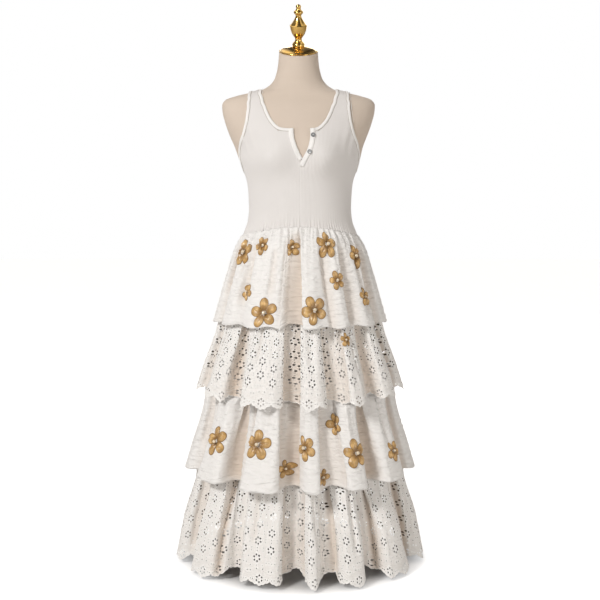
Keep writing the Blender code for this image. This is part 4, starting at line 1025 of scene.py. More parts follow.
def wall(points_top, points_low, faces):
    """Closes two copies of a net into a solid, with a rim on each open edge."""
    count = len(points_top)
    every = [tuple(face) for face in faces] + [tuple(count + k for k in face[::-1]) for face in faces]
    pairs = {(face[k], face[(k + 1) % 3]) for face in faces.tolist() for k in range(3)}
    every += [(b, a, a + count, b + count) for a, b in pairs if (b, a) not in pairs]
    return np.vstack([points_top, points_low]), every


# %% [markdown]
# ## Buttons
# Each button has a raised rim, a dished middle and four holes, with two bars of thread. The upper one is
# grey, the lower one pale. They are sewn on and stay closed on nothing: the neck is worn open.

# %% Two four-hole buttons
Button = namedtuple("Button", "name node x z finish")
BUTTONS = [Button("sewn_button_upper", "button_upper", 0.0375, 1.1385, GREY_BUTTON),
           Button("sewn_button_lower", "button_lower", 0.0282, 1.0970, PALE_BUTTON)]
BUTTON_RADIUS, BUTTON_HIGH, BUTTON_HOLE, BUTTON_HOLE_OUT = 0.0060, 0.0024, 0.0009, 0.0018
PLACKET_FACE = 0.0055


def body_frame(x, z, out):
    """A place on the body's front whose Z axis points outwards."""
    angle = float(angle_at(x, z))
    turn = Vector(body_normal(angle, z)).to_track_quat("Z", "Y").to_matrix().to_4x4()
    return Matrix.Translation(Vector(on_body(angle, z, out))) @ turn


def button_height(radius):
    """The upper side: a dish inside a rounded rim."""
    share = np.clip(radius / BUTTON_RADIUS, 0.0, 1.0)
    rim = np.exp(-((share - 0.82) / 0.13) ** 2)
    return BUTTON_HIGH * (0.62 + 0.38 * rim) - 0.0010 * np.clip(share - 0.93, 0.0, 1.0) / 0.07 * 0.9


button_pieces, bar_spots = [], []
for button in BUTTONS:
    place = body_frame(button.x, button.z, PLACKET_FACE)
    holes = [circle(BUTTON_HOLE_OUT * math.cos(a), BUTTON_HOLE_OUT * math.sin(a), BUTTON_HOLE, 8)
             for a in (math.pi / 4 + k * math.pi / 2 for k in range(4))]
    rings = [circle(0.0, 0.0, BUTTON_RADIUS * share, count) for share, count in
             ((0.94, 32), (0.82, 28), (0.68, 24), (0.54, 16))] + [np.zeros((1, 2))]
    verts, faces = flat_net(circle(0.0, 0.0, BUTTON_RADIUS, 36), holes, np.vstack(rings))
    radius = np.linalg.norm(verts, axis=1)
    above = np.column_stack([verts, button_height(radius)])
    below = np.column_stack([verts, np.zeros(len(verts))])
    points, solid = wall(above, below, faces)
    points = points @ np.array(place.to_3x3()).T + np.array(place.translation)
    piece = make_piece(button.name, points, solid, button.finish)
    piece.data.set_sharp_from_angle(angle=SHARP_BUTTON)
    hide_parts(button.node)
    button_pieces.append(piece)
    for side in (-1, 1):
        ends = [place @ Vector((side * BUTTON_HOLE_OUT * 0.7, end * BUTTON_HOLE_OUT * 1.1,
                                BUTTON_HIGH * 0.62 + 0.0003)) for end in (-1, 1)]
        bar_spots.append((np.array(ends), np.array(place.to_3x3()).T[2]))
print("button faces:", [len(piece.data.polygons) for piece in button_pieces])

# %% [markdown]
# ## The tiers
# Each tier is a tube of cloth, cut much wider than the ring that it is sewn to. Its large folds are dips at
# named angles that deepen towards the hem. Rings of points give this form; then the cloth gets its own flat
# coordinates: across, measured along the hem's folds, and down. Everything that is sewn on the cloth or cut
# through it is placed in those coordinates, and so bends with the folds.

# %% The tiers' rings and folds
Level = namedtuple("Level", "front_z side_z half_width half_depth fold gather lift")
Fold = namedtuple("Fold", "angle half_angle depth")
Tier = namedtuple("Tier", "name levels folds")
TIER_ROWS = [
    ("tier_1", [
        (SEAM_FRONT_Z - 2 * SEAM_GAP, SEAM_SIDE_Z - 2 * SEAM_GAP, 0.0, 0.0, 0.0, 0.0, 0.0),
        (0.882, 0.857, 0.1690, 0.127, 0.002, 0.0060, 0.0),
        (0.790, 0.785, 0.1955, 0.158, 0.012, 0.0020, 0.0),
        (0.700, 0.700, 0.2204, 0.184, 0.023, 0.0, 0.0),
        (0.647, 0.648, 0.2354, 0.201, 0.029, 0.0, 0.014),
    ], [
        (-5.0, 5.5, 1.0), (-21.0, 6.0, 0.35), (-45.0, 7.0, 0.40), (18.0, 6.0, 0.35), (39.0, 7.0, 0.40),
        (66.0, 7.0, 0.35), (-70.0, 7.0, 0.30), (104.0, 7.0, 0.45), (133.0, 7.0, 0.60),
        (163.0, 6.0, 0.80), (194.0, 6.5, 0.55), (225.0, 7.0, 0.70), (256.0, 7.0, 0.40),
    ]),
    ("tier_2", [
        (0.700, 0.700, 0.0, 0.0, 0.0, 0.0, 0.0),
        (0.638, 0.640, 0.2250, 0.188, 0.021, 0.0040, 0.0),
        (0.515, 0.520, 0.2665, 0.227, 0.038, 0.0015, 0.0),
        (0.444, 0.464, 0.2835, 0.243, 0.046, 0.0, 0.012),
    ], [
        (-40.0, 5.0, 0.90), (-5.0, 5.5, 1.0), (20.5, 6.0, 0.85), (45.0, 5.5, 0.85), (74.0, 6.0, 0.55),
        (-73.0, 6.0, 0.45), (107.0, 6.0, 0.75), (137.0, 6.0, 0.95), (166.0, 5.5, 0.85),
        (198.0, 6.0, 1.0), (229.0, 6.0, 0.80), (258.0, 6.0, 0.60),
    ]),
    ("tier_3", [
        (0.515, 0.520, 0.0, 0.0, 0.0, 0.0, 0.0),
        (0.434, 0.450, 0.2590, 0.221, 0.034, 0.0040, 0.0),
        (0.300, 0.305, 0.2985, 0.262, 0.050, 0.0015, 0.0),
        (0.240, 0.252, 0.3140, 0.279, 0.057, 0.0, 0.010),
    ], [
        (-37.0, 5.0, 0.85), (-4.0, 5.5, 1.0), (17.5, 5.5, 0.85), (41.0, 5.0, 0.85), (71.0, 6.0, 0.60),
        (-70.0, 6.0, 0.50), (104.0, 6.0, 0.75), (134.0, 6.0, 0.95), (164.0, 5.5, 0.85),
        (195.0, 6.0, 1.0), (227.0, 6.0, 0.85), (257.0, 6.0, 0.65),
    ]),
    ("tier_4", [
        (0.300, 0.305, 0.0, 0.0, 0.0, 0.0, 0.0),
        (0.232, 0.242, 0.2850, 0.251, 0.044, 0.0040, 0.0),
        (0.112, 0.115, 0.3190, 0.291, 0.062, 0.0015, 0.0),
        (0.006, 0.006, 0.3400, 0.326, 0.080, 0.0, 0.030),
    ], [
        (-35.0, 5.0, 0.80), (-3.0, 5.0, 1.0), (14.0, 5.0, 0.75), (37.0, 5.0, 0.85), (-20.0, 13.0, 0.20),
        (68.0, 6.0, 0.60), (-67.0, 6.0, 0.55), (101.0, 6.0, 0.75), (131.0, 6.0, 0.95),
        (162.0, 5.5, 0.85), (193.0, 6.0, 1.0), (225.0, 6.0, 0.85), (256.0, 6.0, 0.70),
    ]),
]
TIERS = [Tier(name, [Level(*row) for row in levels], [Fold(*row) for row in folds])
         for name, levels, folds in TIER_ROWS]
print("folds:", {tier.name: len(tier.folds) for tier in TIERS})


# %% Rings of one tier
RING_ANGLES = np.arange(2880) * 2 * math.pi / 2880 - math.pi / 2
TUCK = 0.0045
TUCK_SPAN = 10
SOFT = 0.0015
SEAM_OVER = 0.0014


def fold_share(folds, angle):
    """How far the folds are drawn in at an angle: 0 on the lobes, up to 1 in the deepest fold."""
    total = np.zeros(np.shape(angle))
    for fold in folds:
        away = np.angle(np.exp(1j * (angle - math.radians(fold.angle))))
        total += fold.depth * np.exp(-np.abs(away / math.radians(fold.half_angle)) ** 2.4)
    return total


def level_ring(tier, level):
    """The ring of points of one level."""
    share = fold_share(tier.folds, RING_ANGLES)
    inward = level.fold * share
    z = seam_z(RING_ANGLES, level.front_z, level.side_z) + level.lift * share
    return np.stack([(level.half_width - inward) * np.sin(RING_ANGLES),
                     -(level.half_depth - inward) * np.cos(RING_ANGLES), z], -1)


def kept_inside(ring, limit, margin):
    """Pulls a ring softly inside another one, at least a margin away from its walls too."""
    reach = np.hypot(limit[:, 0], limit[:, 1])
    reach = np.min([np.roll(reach, k) for k in range(-TUCK_SPAN, TUCK_SPAN + 1)], axis=0) - margin
    size = np.hypot(ring[:, 0], ring[:, 1])
    soft = -SOFT * np.log(np.exp(-size / SOFT) + np.exp(-reach / SOFT))
    ring = ring.copy()
    ring[:, :2] *= (soft / size)[:, None]
    return ring


def tier_rings(tier, upper):
    """All rings of a tier: the seam, then one for each level."""
    rings = []
    for number, level in enumerate(tier.levels):
        if number == 0 and upper is None:
            z = seam_z(RING_ANGLES, level.front_z, level.side_z)
            rings.append(on_body(RING_ANGLES, z, np.full(len(z), KNIT_OUT + SEAM_OVER)))
        elif number == 0:
            rings.append(kept_inside(upper[-2], upper[-2], TUCK + 0.001))
        elif number == 1 and upper is not None:
            rings.append(kept_inside(level_ring(tier, level), upper[-1], TUCK))
        else:
            rings.append(level_ring(tier, level))
    return np.array(rings)


all_rings = []
for tier in TIERS:
    all_rings.append(tier_rings(tier, all_rings[-1] if all_rings else None))
print("rings:", [ring.shape for ring in all_rings])


# %% [markdown]
# The cloth object keeps a fine net in flat coordinates. It can be pushed along its own normals, for gathers
# and creases, and read at any flat place, at any height over the cloth.

# %% Cloth with flat coordinates
NET_ACROSS, NET_DOWN = 0.0016, 0.0020


class Cloth:
    """A gathered tube of cloth that is read by flat places: across and down, in metres."""

    def __init__(self, rings):
        closed = np.concatenate([rings[-1], rings[-1][:1]])
        run = run_along(closed)
        self.width = run[-1]
        self.angles, self.runs = np.append(RING_ANGLES, RING_ANGLES[0] + 2 * math.pi), run
        self.across = int(self.width / NET_ACROSS)
        at = np.interp(np.arange(self.across) * self.width / self.across, run, np.arange(len(run)))
        low = np.floor(at).astype(int)
        share = (at - low)[None, :, None]
        count = len(RING_ANGLES)
        columns = rings[:, low % count] * (1 - share) + rings[:, (low + 1) % count] * share
        gaps = np.linalg.norm(np.diff(columns, axis=0), axis=2).mean(1)
        knots = np.concatenate([[0.0], np.cumsum(gaps)])
        self.length = knots[-1]
        self.down = int(self.length / NET_DOWN) + 1
        points = through_points(knots, columns, np.linspace(0.0, self.length, self.down))
        self.points = points.transpose(1, 0, 2).copy()
        self.u = (np.arange(self.across) * self.width / self.across)[:, None]
        self.v = np.linspace(0.0, self.length, self.down)[None, :]
        # The mask of the painted fold shade, filled in as the tier is creased.
        self.hollow = np.zeros((self.across, self.down))
        self.measure()

    def measure(self):
        """Works out the normals of the net."""
        across = np.roll(self.points, -1, 0) - np.roll(self.points, 1, 0)
        down = np.gradient(self.points, axis=1)
        self.normals = unit(np.cross(down, across))

    def push(self, amount):
        """Moves the net along its normals."""
        self.points += self.normals * amount[..., None]
        self.measure()

    def read(self, net, u, v):
        """Reads a net between its points."""
        column = np.mod(np.asarray(u, float) / self.width, 1.0) * self.across
        row = np.clip(np.asarray(v, float) / self.length, 0.0, 1.0) * (self.down - 1)
        left, top = np.floor(column).astype(int), np.minimum(np.floor(row).astype(int), self.down - 2)
        s, t = (column - left)[..., None], (row - top)[..., None]
        left, right = left % self.across, (left + 1) % self.across
        upper = net[left, top] * (1 - s) + net[right, top] * s
        lower = net[left, top + 1] * (1 - s) + net[right, top + 1] * s
        return upper * (1 - t) + lower * t

    def at(self, u, v, lift=0.0):
        """Points on the cloth at flat places, or at a height over it."""
        over = np.asarray(v, float) - self.length
        point = self.read(self.points, u, v) + self.read(self.normals, u, v) * np.asarray(lift)[..., None]
        end = self.read(self.points, u, self.length) - self.read(self.points, u, self.length - NET_DOWN)
        return point + unit(end) * np.maximum(over, 0.0)[..., None]

    def fold_shade_at(self, u, v):
        """How deep in a fold the cloth lies, from 0 to 1: the mask of the painted fold shade."""
        return self.read(self.hollow[..., None], u, v)[..., 0]

    def up(self, u, v):
        return unit(self.read(self.normals, u, v))

    def across_at(self, degrees):
        """The flat place across, of an angle round the dress."""
        angle = (math.radians(degrees) + math.pi / 2) % (2 * math.pi) - math.pi / 2
        return float(np.interp(angle, self.angles, self.runs))

    def down_at(self, u, z):
        """The flat place down, of a height in the column at u."""
        heights = self.read(self.points, np.full(self.down, u), self.v[0])[:, 2]
        return float(np.interp(-z, -heights, self.v[0]))


# %% [markdown]
# ## Gathers and creases
# Near the seam the gathers are narrow and deep, and they die out at different lengths. Wider, softer folds
# run on to the hem. Cotton also has shallow crosswise wrinkles. All are uneven waves with fixed seeds, and
# they only push inwards near the seam, so that no tier breaks through the one above.

# %% Gathers for each tier
Gather = namedtuple("Gather", "wave depth fade slant")
GATHERS = {
    "tier_1": [Gather(0.013, 0.0050, 0.030, 0.02), Gather(0.030, 0.0066, 0.085, 0.05),
               Gather(0.075, 0.0040, 0.50, 0.0)],
    "tier_2": [Gather(0.013, 0.0036, 0.080, 0.02), Gather(0.034, 0.0050, 0.160, 0.05),
               Gather(0.090, 0.0030, 0.50, 0.0)],
    "tier_3": [Gather(0.014, 0.0030, 0.075, 0.02), Gather(0.038, 0.0044, 0.150, 0.05),
               Gather(0.095, 0.0032, 0.50, 0.0)],
    "tier_4": [Gather(0.013, 0.0036, 0.085, 0.02), Gather(0.034, 0.0050, 0.170, 0.05),
               Gather(0.090, 0.0030, 0.60, 0.0)],
}
WRINKLE = {"tier_1": 0.00150, "tier_2": 0.00050, "tier_3": 0.00150, "tier_4": 0.00050}
OUTWARD = {"tier_1": 0.45, "tier_2": 0.0, "tier_3": 0.0, "tier_4": 0.0}


def wrinkles(cloth, seed, count=46):
    """Shallow crosswise wrinkles: short crests that lean a little, stronger in some places."""
    numbers = np.random.default_rng(seed)
    total = np.zeros((cloth.across, cloth.down))
    for _ in range(count):
        wave = numbers.uniform(0.012, 0.026)
        cycles = round(cloth.width / (wave * numbers.uniform(2.0, 6.0))) * numbers.choice((-1, 1))
        phase = 2 * math.pi * (cycles * cloth.u / cloth.width + cloth.v / wave) + numbers.uniform(0.0, 6.28)
        total += np.sin(phase)
    patch = 0.5 + 0.5 * uneven_waves(cloth.u + 0.3 * cloth.v, cloth.width, 0.12, seed + 1)
    patch = patch * (0.6 + 0.4 * np.sin(cloth.v * 40.0 + 7.0 * cloth.u))
    return total / math.sqrt(count) * np.clip(patch, 0.15, 1.2)


# %% [markdown]
# The main creases are listed one by one. Each is a trough that is sharp on one side and soft on the other, as
# where one lobe of cloth folds over the next. Those at the sides and the back follow the folds of the tier.

# %% Listed creases
Crease = namedtuple("Crease", "top low start end left right depth")
CREASE_ROWS = {
    "tier_1": [
        (-0.5, 0.5, 0.00, 0.30, 0.036, 0.0025, 0.018), (-21, -25, 0.04, 0.20, 0.004, 0.018, 0.006),
        (-12, -15, 0.02, 0.28, 0.006, 0.022, 0.005), (-40, -47, 0.02, 0.22, 0.022, 0.005, 0.009),
        (-50, -60, 0.02, 0.16, 0.012, 0.010, 0.005), (16, 21, 0.05, 0.30, 0.004, 0.030, 0.009),
        (34, 37, 0.03, 0.28, 0.004, 0.030, 0.011), (52, 58, 0.02, 0.25, 0.015, 0.008, 0.006),
    ],
    "tier_2": [
        (-42, -42, 0.00, 0.30, 0.034, 0.005, 0.015), (-9.5, -8.5, 0.00, 0.30, 0.005, 0.022, 0.010),
        (-1.5, -1, 0.00, 0.30, 0.022, 0.004, 0.013), (16, 17, 0.00, 0.30, 0.005, 0.026, 0.011),
        (28, 27, 0.00, 0.30, 0.024, 0.005, 0.009), (46, 47, 0.00, 0.30, 0.005, 0.030, 0.013),
        (-25, -28, 0.02, 0.17, 0.012, 0.006, 0.006), (5, 7, 0.02, 0.18, 0.010, 0.012, 0.004),
        (36, 37, 0.02, 0.20, 0.010, 0.006, 0.005), (-60, -63, 0.01, 0.24, 0.020, 0.006, 0.007),
    ],
    "tier_3": [
        (-36, -37, 0.00, 0.30, 0.034, 0.005, 0.015), (-25, -31, 0.03, 0.30, 0.018, 0.004, 0.009),
        (-10, -9, 0.00, 0.30, 0.006, 0.024, 0.009), (-1.5, -1, 0.00, 0.30, 0.026, 0.003, 0.015),
        (13, 11, 0.02, 0.30, 0.004, 0.030, 0.011), (22, 23, 0.02, 0.30, 0.020, 0.004, 0.007),
        (41, 41.5, 0.00, 0.30, 0.004, 0.030, 0.015), (-58, -62, 0.01, 0.26, 0.020, 0.006, 0.008),
        (-17, -19, 0.02, 0.15, 0.010, 0.006, 0.004), (54, 57, 0.01, 0.20, 0.012, 0.008, 0.005),
    ],
    "tier_4": [
        (-39, -40, 0.00, 0.32, 0.034, 0.005, 0.017), (-8, -7.5, 0.00, 0.32, 0.004, 0.026, 0.012),
        (1.0, 1.5, 0.00, 0.32, 0.026, 0.004, 0.014), (15, 16, 0.00, 0.32, 0.004, 0.022, 0.012),
        (39, 40, 0.00, 0.32, 0.004, 0.030, 0.015), (-24, -22, 0.02, 0.22, 0.012, 0.008, 0.006),
        (28, 26, 0.02, 0.24, 0.010, 0.008, 0.005), (8, 8, 0.02, 0.20, 0.008, 0.006, 0.004),
        (-56, -60, 0.01, 0.30, 0.020, 0.006, 0.009), (56, 60, 0.01, 0.28, 0.010, 0.020, 0.008),
    ],
}
FRONT_END = 63.0
CREASE_SCALE = 1.35
CREASE_START, CREASE_END = 0.035, 0.05
# The crease depth at which the painted fold shade is full.
FULL_FOLD_SHADE_DEPTH = 0.014


def creases_of(tier, seed):
    """The listed creases, and similar ones along the folds of the sides and the back."""
    numbers = np.random.default_rng(seed)
    rows = [Crease(*row) for row in CREASE_ROWS[tier.name]]
    for fold in tier.folds:
        if FRONT_END < fold.angle % 360.0 < 360.0 - FRONT_END:
            lean = numbers.uniform(-2.0, 2.0)
            rows.append(Crease(fold.angle + 4, fold.angle + 4 + lean, 0.0, 0.32, 0.030, 0.005,
                               numbers.uniform(0.008, 0.015)))
            rows.append(Crease(fold.angle - 5, fold.angle - 5 + lean, numbers.uniform(0.0, 0.05),
                               numbers.uniform(0.18, 0.32), 0.005, 0.026, numbers.uniform(0.005, 0.012)))
    return rows


def crease_depth(cloth, crease):
    """How deep one crease is at each point of the net."""
    top, low = cloth.across_at(crease.top), cloth.across_at(crease.low)
    if abs(low - top) > cloth.width / 2:
        low += math.copysign(cloth.width, top - low)
    line = top + (low - top) * cloth.v / cloth.length
    away = np.mod(cloth.u - line + cloth.width / 2, cloth.width) - cloth.width / 2
    reach = np.where(away < 0, crease.left, crease.right)
    shape = np.exp(-np.abs(away / reach) ** 1.7)
    window = np.clip((cloth.v - crease.start) / CREASE_START, 0.0, 1.0)
    window = window * np.clip((crease.end - cloth.v) / CREASE_END, 0.0, 1.0)
    return crease.depth * shape * window * window * (3 - 2 * window)


# %% [markdown]
# A tier's hem hangs over the top of the next one. Where the upper tier folds in, the lower one has to stay
# inside it: its points are drawn in to the smallest radius of the upper tier near them, less a margin.

# %% Keeping a tier under the one above
TURN_CELLS, CELL_HIGH = 1440, 0.004
UNDER_MARGIN, FREE_RISE, FREE_CELLS = 0.0042, 1.6, 8


def polar(points):
    return np.arctan2(points[..., 0], -points[..., 1]), np.hypot(points[..., 0], points[..., 1])


def keep_under(lower, upper):
    """Draws the lower cloth in, wherever the upper one covers it."""
    turn, radius = polar(upper.points)
    base = upper.points[..., 2].min() - (FREE_CELLS + 1) * CELL_HIGH
    height = ((upper.points[..., 2] - base) / CELL_HIGH).astype(int)
    column = (turn / (2 * math.pi) * TURN_CELLS).astype(int) % TURN_CELLS
    limit = np.full((TURN_CELLS, height.max() + 2), 9.0)
    np.minimum.at(limit, (column.ravel(), height.ravel()), radius.ravel())
    limit = np.min([np.roll(limit, k, 0) for k in range(-4, 5)], axis=0)
    for k in range(limit.shape[1] - 2, -1, -1):
        below = limit[:, k + 1] + FREE_RISE * CELL_HIGH
        limit[:, k] = np.where(limit[:, k] > 8.0, np.where(below < 8.0, below, 9.0), limit[:, k])
    for k in range(1, limit.shape[1]):
        limit[:, k] = np.where(limit[:, k] > 8.0, limit[:, k - 1], limit[:, k])
    turn, radius = polar(lower.points)
    cell = np.clip((lower.points[..., 2] - base) / CELL_HIGH - 0.5, 0.0, limit.shape[1] - 1.001)
    side = np.mod(turn / (2 * math.pi) * TURN_CELLS - 0.5, TURN_CELLS)
    k, c = cell.astype(int), side.astype(int)
    s, t = side - c, cell - k
    c, after = c % TURN_CELLS, (c + 1) % TURN_CELLS
    bound = (limit[c, k] * (1 - s) + limit[after, k] * s) * (1 - t)
    bound += (limit[c, k + 1] * (1 - s) + limit[after, k + 1] * s) * t
    bound = np.where(lower.points[..., 2] < base, 9.0, bound - UNDER_MARGIN)
    bound = np.minimum(bound, 1.0) - 0.2
    soft = -SOFT * np.log(np.exp(-(radius - 0.2) / SOFT) + np.exp(-bound / SOFT)) + 0.2
    lower.points[..., :2] *= (soft / radius)[..., None]
    lower.measure()


# %% Dressing the tiers
SEAM_SPAN, WRINKLE_START = 0.008, 0.04
# Shares of the painted fold shade: from the creases, from the tier's folds, and a threshold under which none
# is painted.
CREASE_FOLD_SHADE, TIER_FOLD_SHADE, LEAST_FOLD_SHADE = 0.7, 0.45, 0.12


def dress_cloth(tier, rings, seed, upper):
    """The cloth of one tier, gathered, creased and kept under the tier above."""
    cloth = Cloth(rings)
    amount = np.zeros((cloth.across, cloth.down))
    for number, gather in enumerate(GATHERS[tier.name]):
        place = cloth.u + gather.slant * cloth.v * np.sin(2 * math.pi * cloth.u / cloth.width * 5)
        wave = np.tanh(1.7 * uneven_waves(place, cloth.width, gather.wave, seed + number))
        fade = 1 + 0.5 * uneven_waves(cloth.u, cloth.width, gather.wave * 2.5, seed + 20 + number)
        depth = gather.depth * np.exp(-cloth.v / (gather.fade * np.clip(fade, 0.4, 1.8)))
        depth = depth * np.clip(cloth.v / SEAM_SPAN, 0.2, 1.0)
        amount += depth * ((wave - 1.0) / 2 + OUTWARD[tier.name] * (number < 2))
    # Each crease also deepens the painted fold shade, a mask that darkens the cloth's colour.
    for crease in creases_of(tier, seed + 60):
        trough = crease_depth(cloth, crease)
        amount -= CREASE_SCALE * trough
        cloth.hollow += trough / FULL_FOLD_SHADE_DEPTH
    column_angle = np.interp(cloth.u[:, 0], cloth.runs, cloth.angles)
    folded = fold_share(tier.folds, column_angle)[:, None] * np.clip(cloth.v / cloth.length * 1.5, 0.2, 1.0)
    cloth.hollow = np.clip(cloth.hollow * CREASE_FOLD_SHADE + TIER_FOLD_SHADE * folded - LEAST_FOLD_SHADE, 0.0, 1.0)
    cloth.push(amount)
    cloth.push(WRINKLE[tier.name] * wrinkles(cloth, seed + 40) * np.clip(cloth.v / WRINKLE_START, 0.0, 1.0))
    if upper is not None:
        keep_under(cloth, upper)
    return cloth


cloths = {}
upper = None
for number, (tier, rings) in enumerate(zip(TIERS, all_rings)):
    upper = cloths[tier.name] = dress_cloth(tier, rings, 100 * number + 7, upper)
print("cut, width by length:", {name: (round(c.width, 3), round(c.length, 3)) for name, c in cloths.items()})

# %% [markdown]
# ## Plain cotton tiers
# Tiers 1 and 3 are plain tubes. A net reads the cloth every few millimetres, the last centimetre is a turned
# hem, a little thicker, and a Solidify modifier gives the wall its thickness, inwards.

# %% The two cotton tiers
COTTON_WALL = 0.0007
HEM_WIDTH, HEM_RISE = 0.010, 0.0005
PLAIN_ACROSS, PLAIN_DOWN = 0.0036, 0.0050


def plain_tier(tier):
    """A tube of cotton with a turned hem."""
    cloth = cloths[tier.name]
    wide, tall = round(cloth.width / PLAIN_ACROSS), round(cloth.length / PLAIN_DOWN)
    u, v = np.meshgrid(np.arange(wide) * cloth.width / wide, np.linspace(0.0, cloth.length, tall))
    hem = HEM_RISE * np.clip((v - (cloth.length - HEM_WIDTH)) / 0.002, 0.0, 1.0)
    points = cloth.at(u, v, hem).reshape(-1, 3)
    faces = net_faces(tall, wide, closed=True)[:, ::-1]
    # The net carries the mask of the painted fold shade.
    piece = make_piece(f"cotton_{tier.name}", points, faces, COTTON, np.stack([u, v], -1).reshape(-1, 2),
                       hollow=cloth.fold_shade_at(u, v).ravel())
    shell = piece.modifiers.new("thickness", "SOLIDIFY")
    shell.thickness = COTTON_WALL
    shell.offset = -1.0
    return piece


cotton = {tier.name: plain_tier(tier) for tier in (TIERS[0], TIERS[2])}
for name, piece in cotton.items():
    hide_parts(name)
print("cotton faces:", {name: len(piece.data.polygons) for name, piece in cotton.items()})

# %% [markdown]
# ## Eyelet cloth
# The cloth repeats one small motif: six holes round a flower's heart, and a few tiny holes between. One
# repeat is a flat net with its holes, which is then laid side by side, like tiles. Each hole has a sewn lip,
# a ring of points that stands up a little and carries a satin mask. Real holes let the dark inside show.

# %% One repeat of the field
HOLE_RADIUS, TINY_RADIUS = 0.0025, 0.0012
RING_RADIUS = 0.0081
LIP = 0.0012
HOLE_RISE, LIP_RISE = 0.00025, 0.00050
STEPS_A_REPEAT = 10
HOLE_SIDES, TINY_SIDES = 8, 6
TINY_INSET = 0.0036


def with_lips(outline, centres, spots):
    """A flat net with round holes and sewn lips. centres are (x, y, radius, sides)."""
    holes = [circle(x, y, radius, sides, math.pi / sides) for x, y, radius, sides in centres]
    lips = [circle(x, y, radius + LIP, sides, math.pi / sides) for x, y, radius, sides in centres]
    clear = np.full(len(spots), True)
    for x, y, radius, _ in centres:
        clear &= np.hypot(spots[:, 0] - x, spots[:, 1] - y) > radius + LIP + 0.0012
    spots = spots[clear]
    verts, faces = flat_net(outline, holes, np.vstack([*lips, spots]))
    rise_at = np.zeros(len(verts))
    for x, y, radius, _ in centres:
        away = np.hypot(verts[:, 0] - x, verts[:, 1] - y)
        rise_at[away < radius + LIP + 0.0001] = LIP_RISE
        rise_at[away < radius + 0.0001] = HOLE_RISE
    return verts, faces, rise_at


def hole_ring(centre, ring_radius, radius, turn):
    """Six holes round a flower's heart."""
    angles = (math.radians(turn + 60 * k) for k in range(6))
    return [(*(np.array(centre) + ring_radius * np.array((math.cos(a), math.sin(a)))), radius, HOLE_SIDES)
            for a in angles]


def field_repeat(wide, tall):
    """One repeat: six holes in a ring, and tiny holes near the corners and edges."""
    step, rows = wide / STEPS_A_REPEAT, STEPS_A_REPEAT
    left = [(0.0, y) for y in np.linspace(0.0, tall, rows + 1)]
    top = [(x, tall) for x in np.linspace(0.0, wide, STEPS_A_REPEAT + 1)]
    outline = left[:-1] + top[:-1] + [(wide, y) for _, y in left[:0:-1]] + [(x, 0.0) for x, _ in top[:0:-1]]
    holes = hole_ring((wide / 2, tall / 2), RING_RADIUS, HOLE_RADIUS, 20)
    tiny = TINY_INSET
    holes += [(x, y, TINY_RADIUS, TINY_SIDES) for x in (tiny, wide - tiny) for y in (tiny, tall - tiny)]
    holes += [(wide / 2, tiny, TINY_RADIUS, TINY_SIDES), (wide / 2, tall - tiny, TINY_RADIUS, TINY_SIDES)]
    spots = np.array([(x * step, y * tall / rows) for x in range(1, STEPS_A_REPEAT) for y in range(1, rows)])
    return with_lips(np.array(outline), holes, spots)


# %% [markdown]
# The flowers of one column stand half a repeat lower than those of its neighbours. So every other column
# starts and ends with half a repeat, which has no flower, only a few tiny holes.


# %% Half a repeat
def half_repeat(wide, tall):
    """A plain half repeat that starts or ends every other column."""
    step, rows = wide / STEPS_A_REPEAT, STEPS_A_REPEAT // 2
    outline = [(0.0, y) for y in np.linspace(0.0, tall / 2, rows + 1)[:-1]]
    outline += [(x, tall / 2) for x in np.linspace(0.0, wide, STEPS_A_REPEAT + 1)[:-1]]
    outline += [(wide, y) for y in np.linspace(tall / 2, 0.0, rows + 1)[:-1]]
    outline += [(x, 0.0) for x in np.linspace(wide, 0.0, STEPS_A_REPEAT + 1)[:-1]]
    holes = [(wide * share, tall / 4, TINY_RADIUS, TINY_SIDES) for share in (0.2, 0.4, 0.6, 0.8)]
    spots = np.array([(x * step, y * tall / 2 / rows) for x in range(1, STEPS_A_REPEAT)
                      for y in range(1, rows)])
    return with_lips(np.array(outline), holes, spots)


# %% [markdown]
# The border ends in large points, each edged with small scallops, with a flower in each point and a line of
# tiny holes along its slopes. Three field repeats are as wide as two points, so the edges of both nets meet.

# %% One point of the border
BORDER_HIGH = 0.044
POINT_DEPTH = 0.0115
SCALLOP_RISE = 0.0026
SCALLOPS_A_POINT = 5
HEART_UP, BORDER_RING = 0.0165, 0.0076


def hem_drop(share):
    """How far above the lowest line the hem is, at a share of one point's width."""
    big = POINT_DEPTH * np.abs(2 * share - 1) ** 1.25
    small = SCALLOP_RISE * (1 - np.abs(np.sin(math.pi * SCALLOPS_A_POINT * share)) ** 0.7)
    return big + small


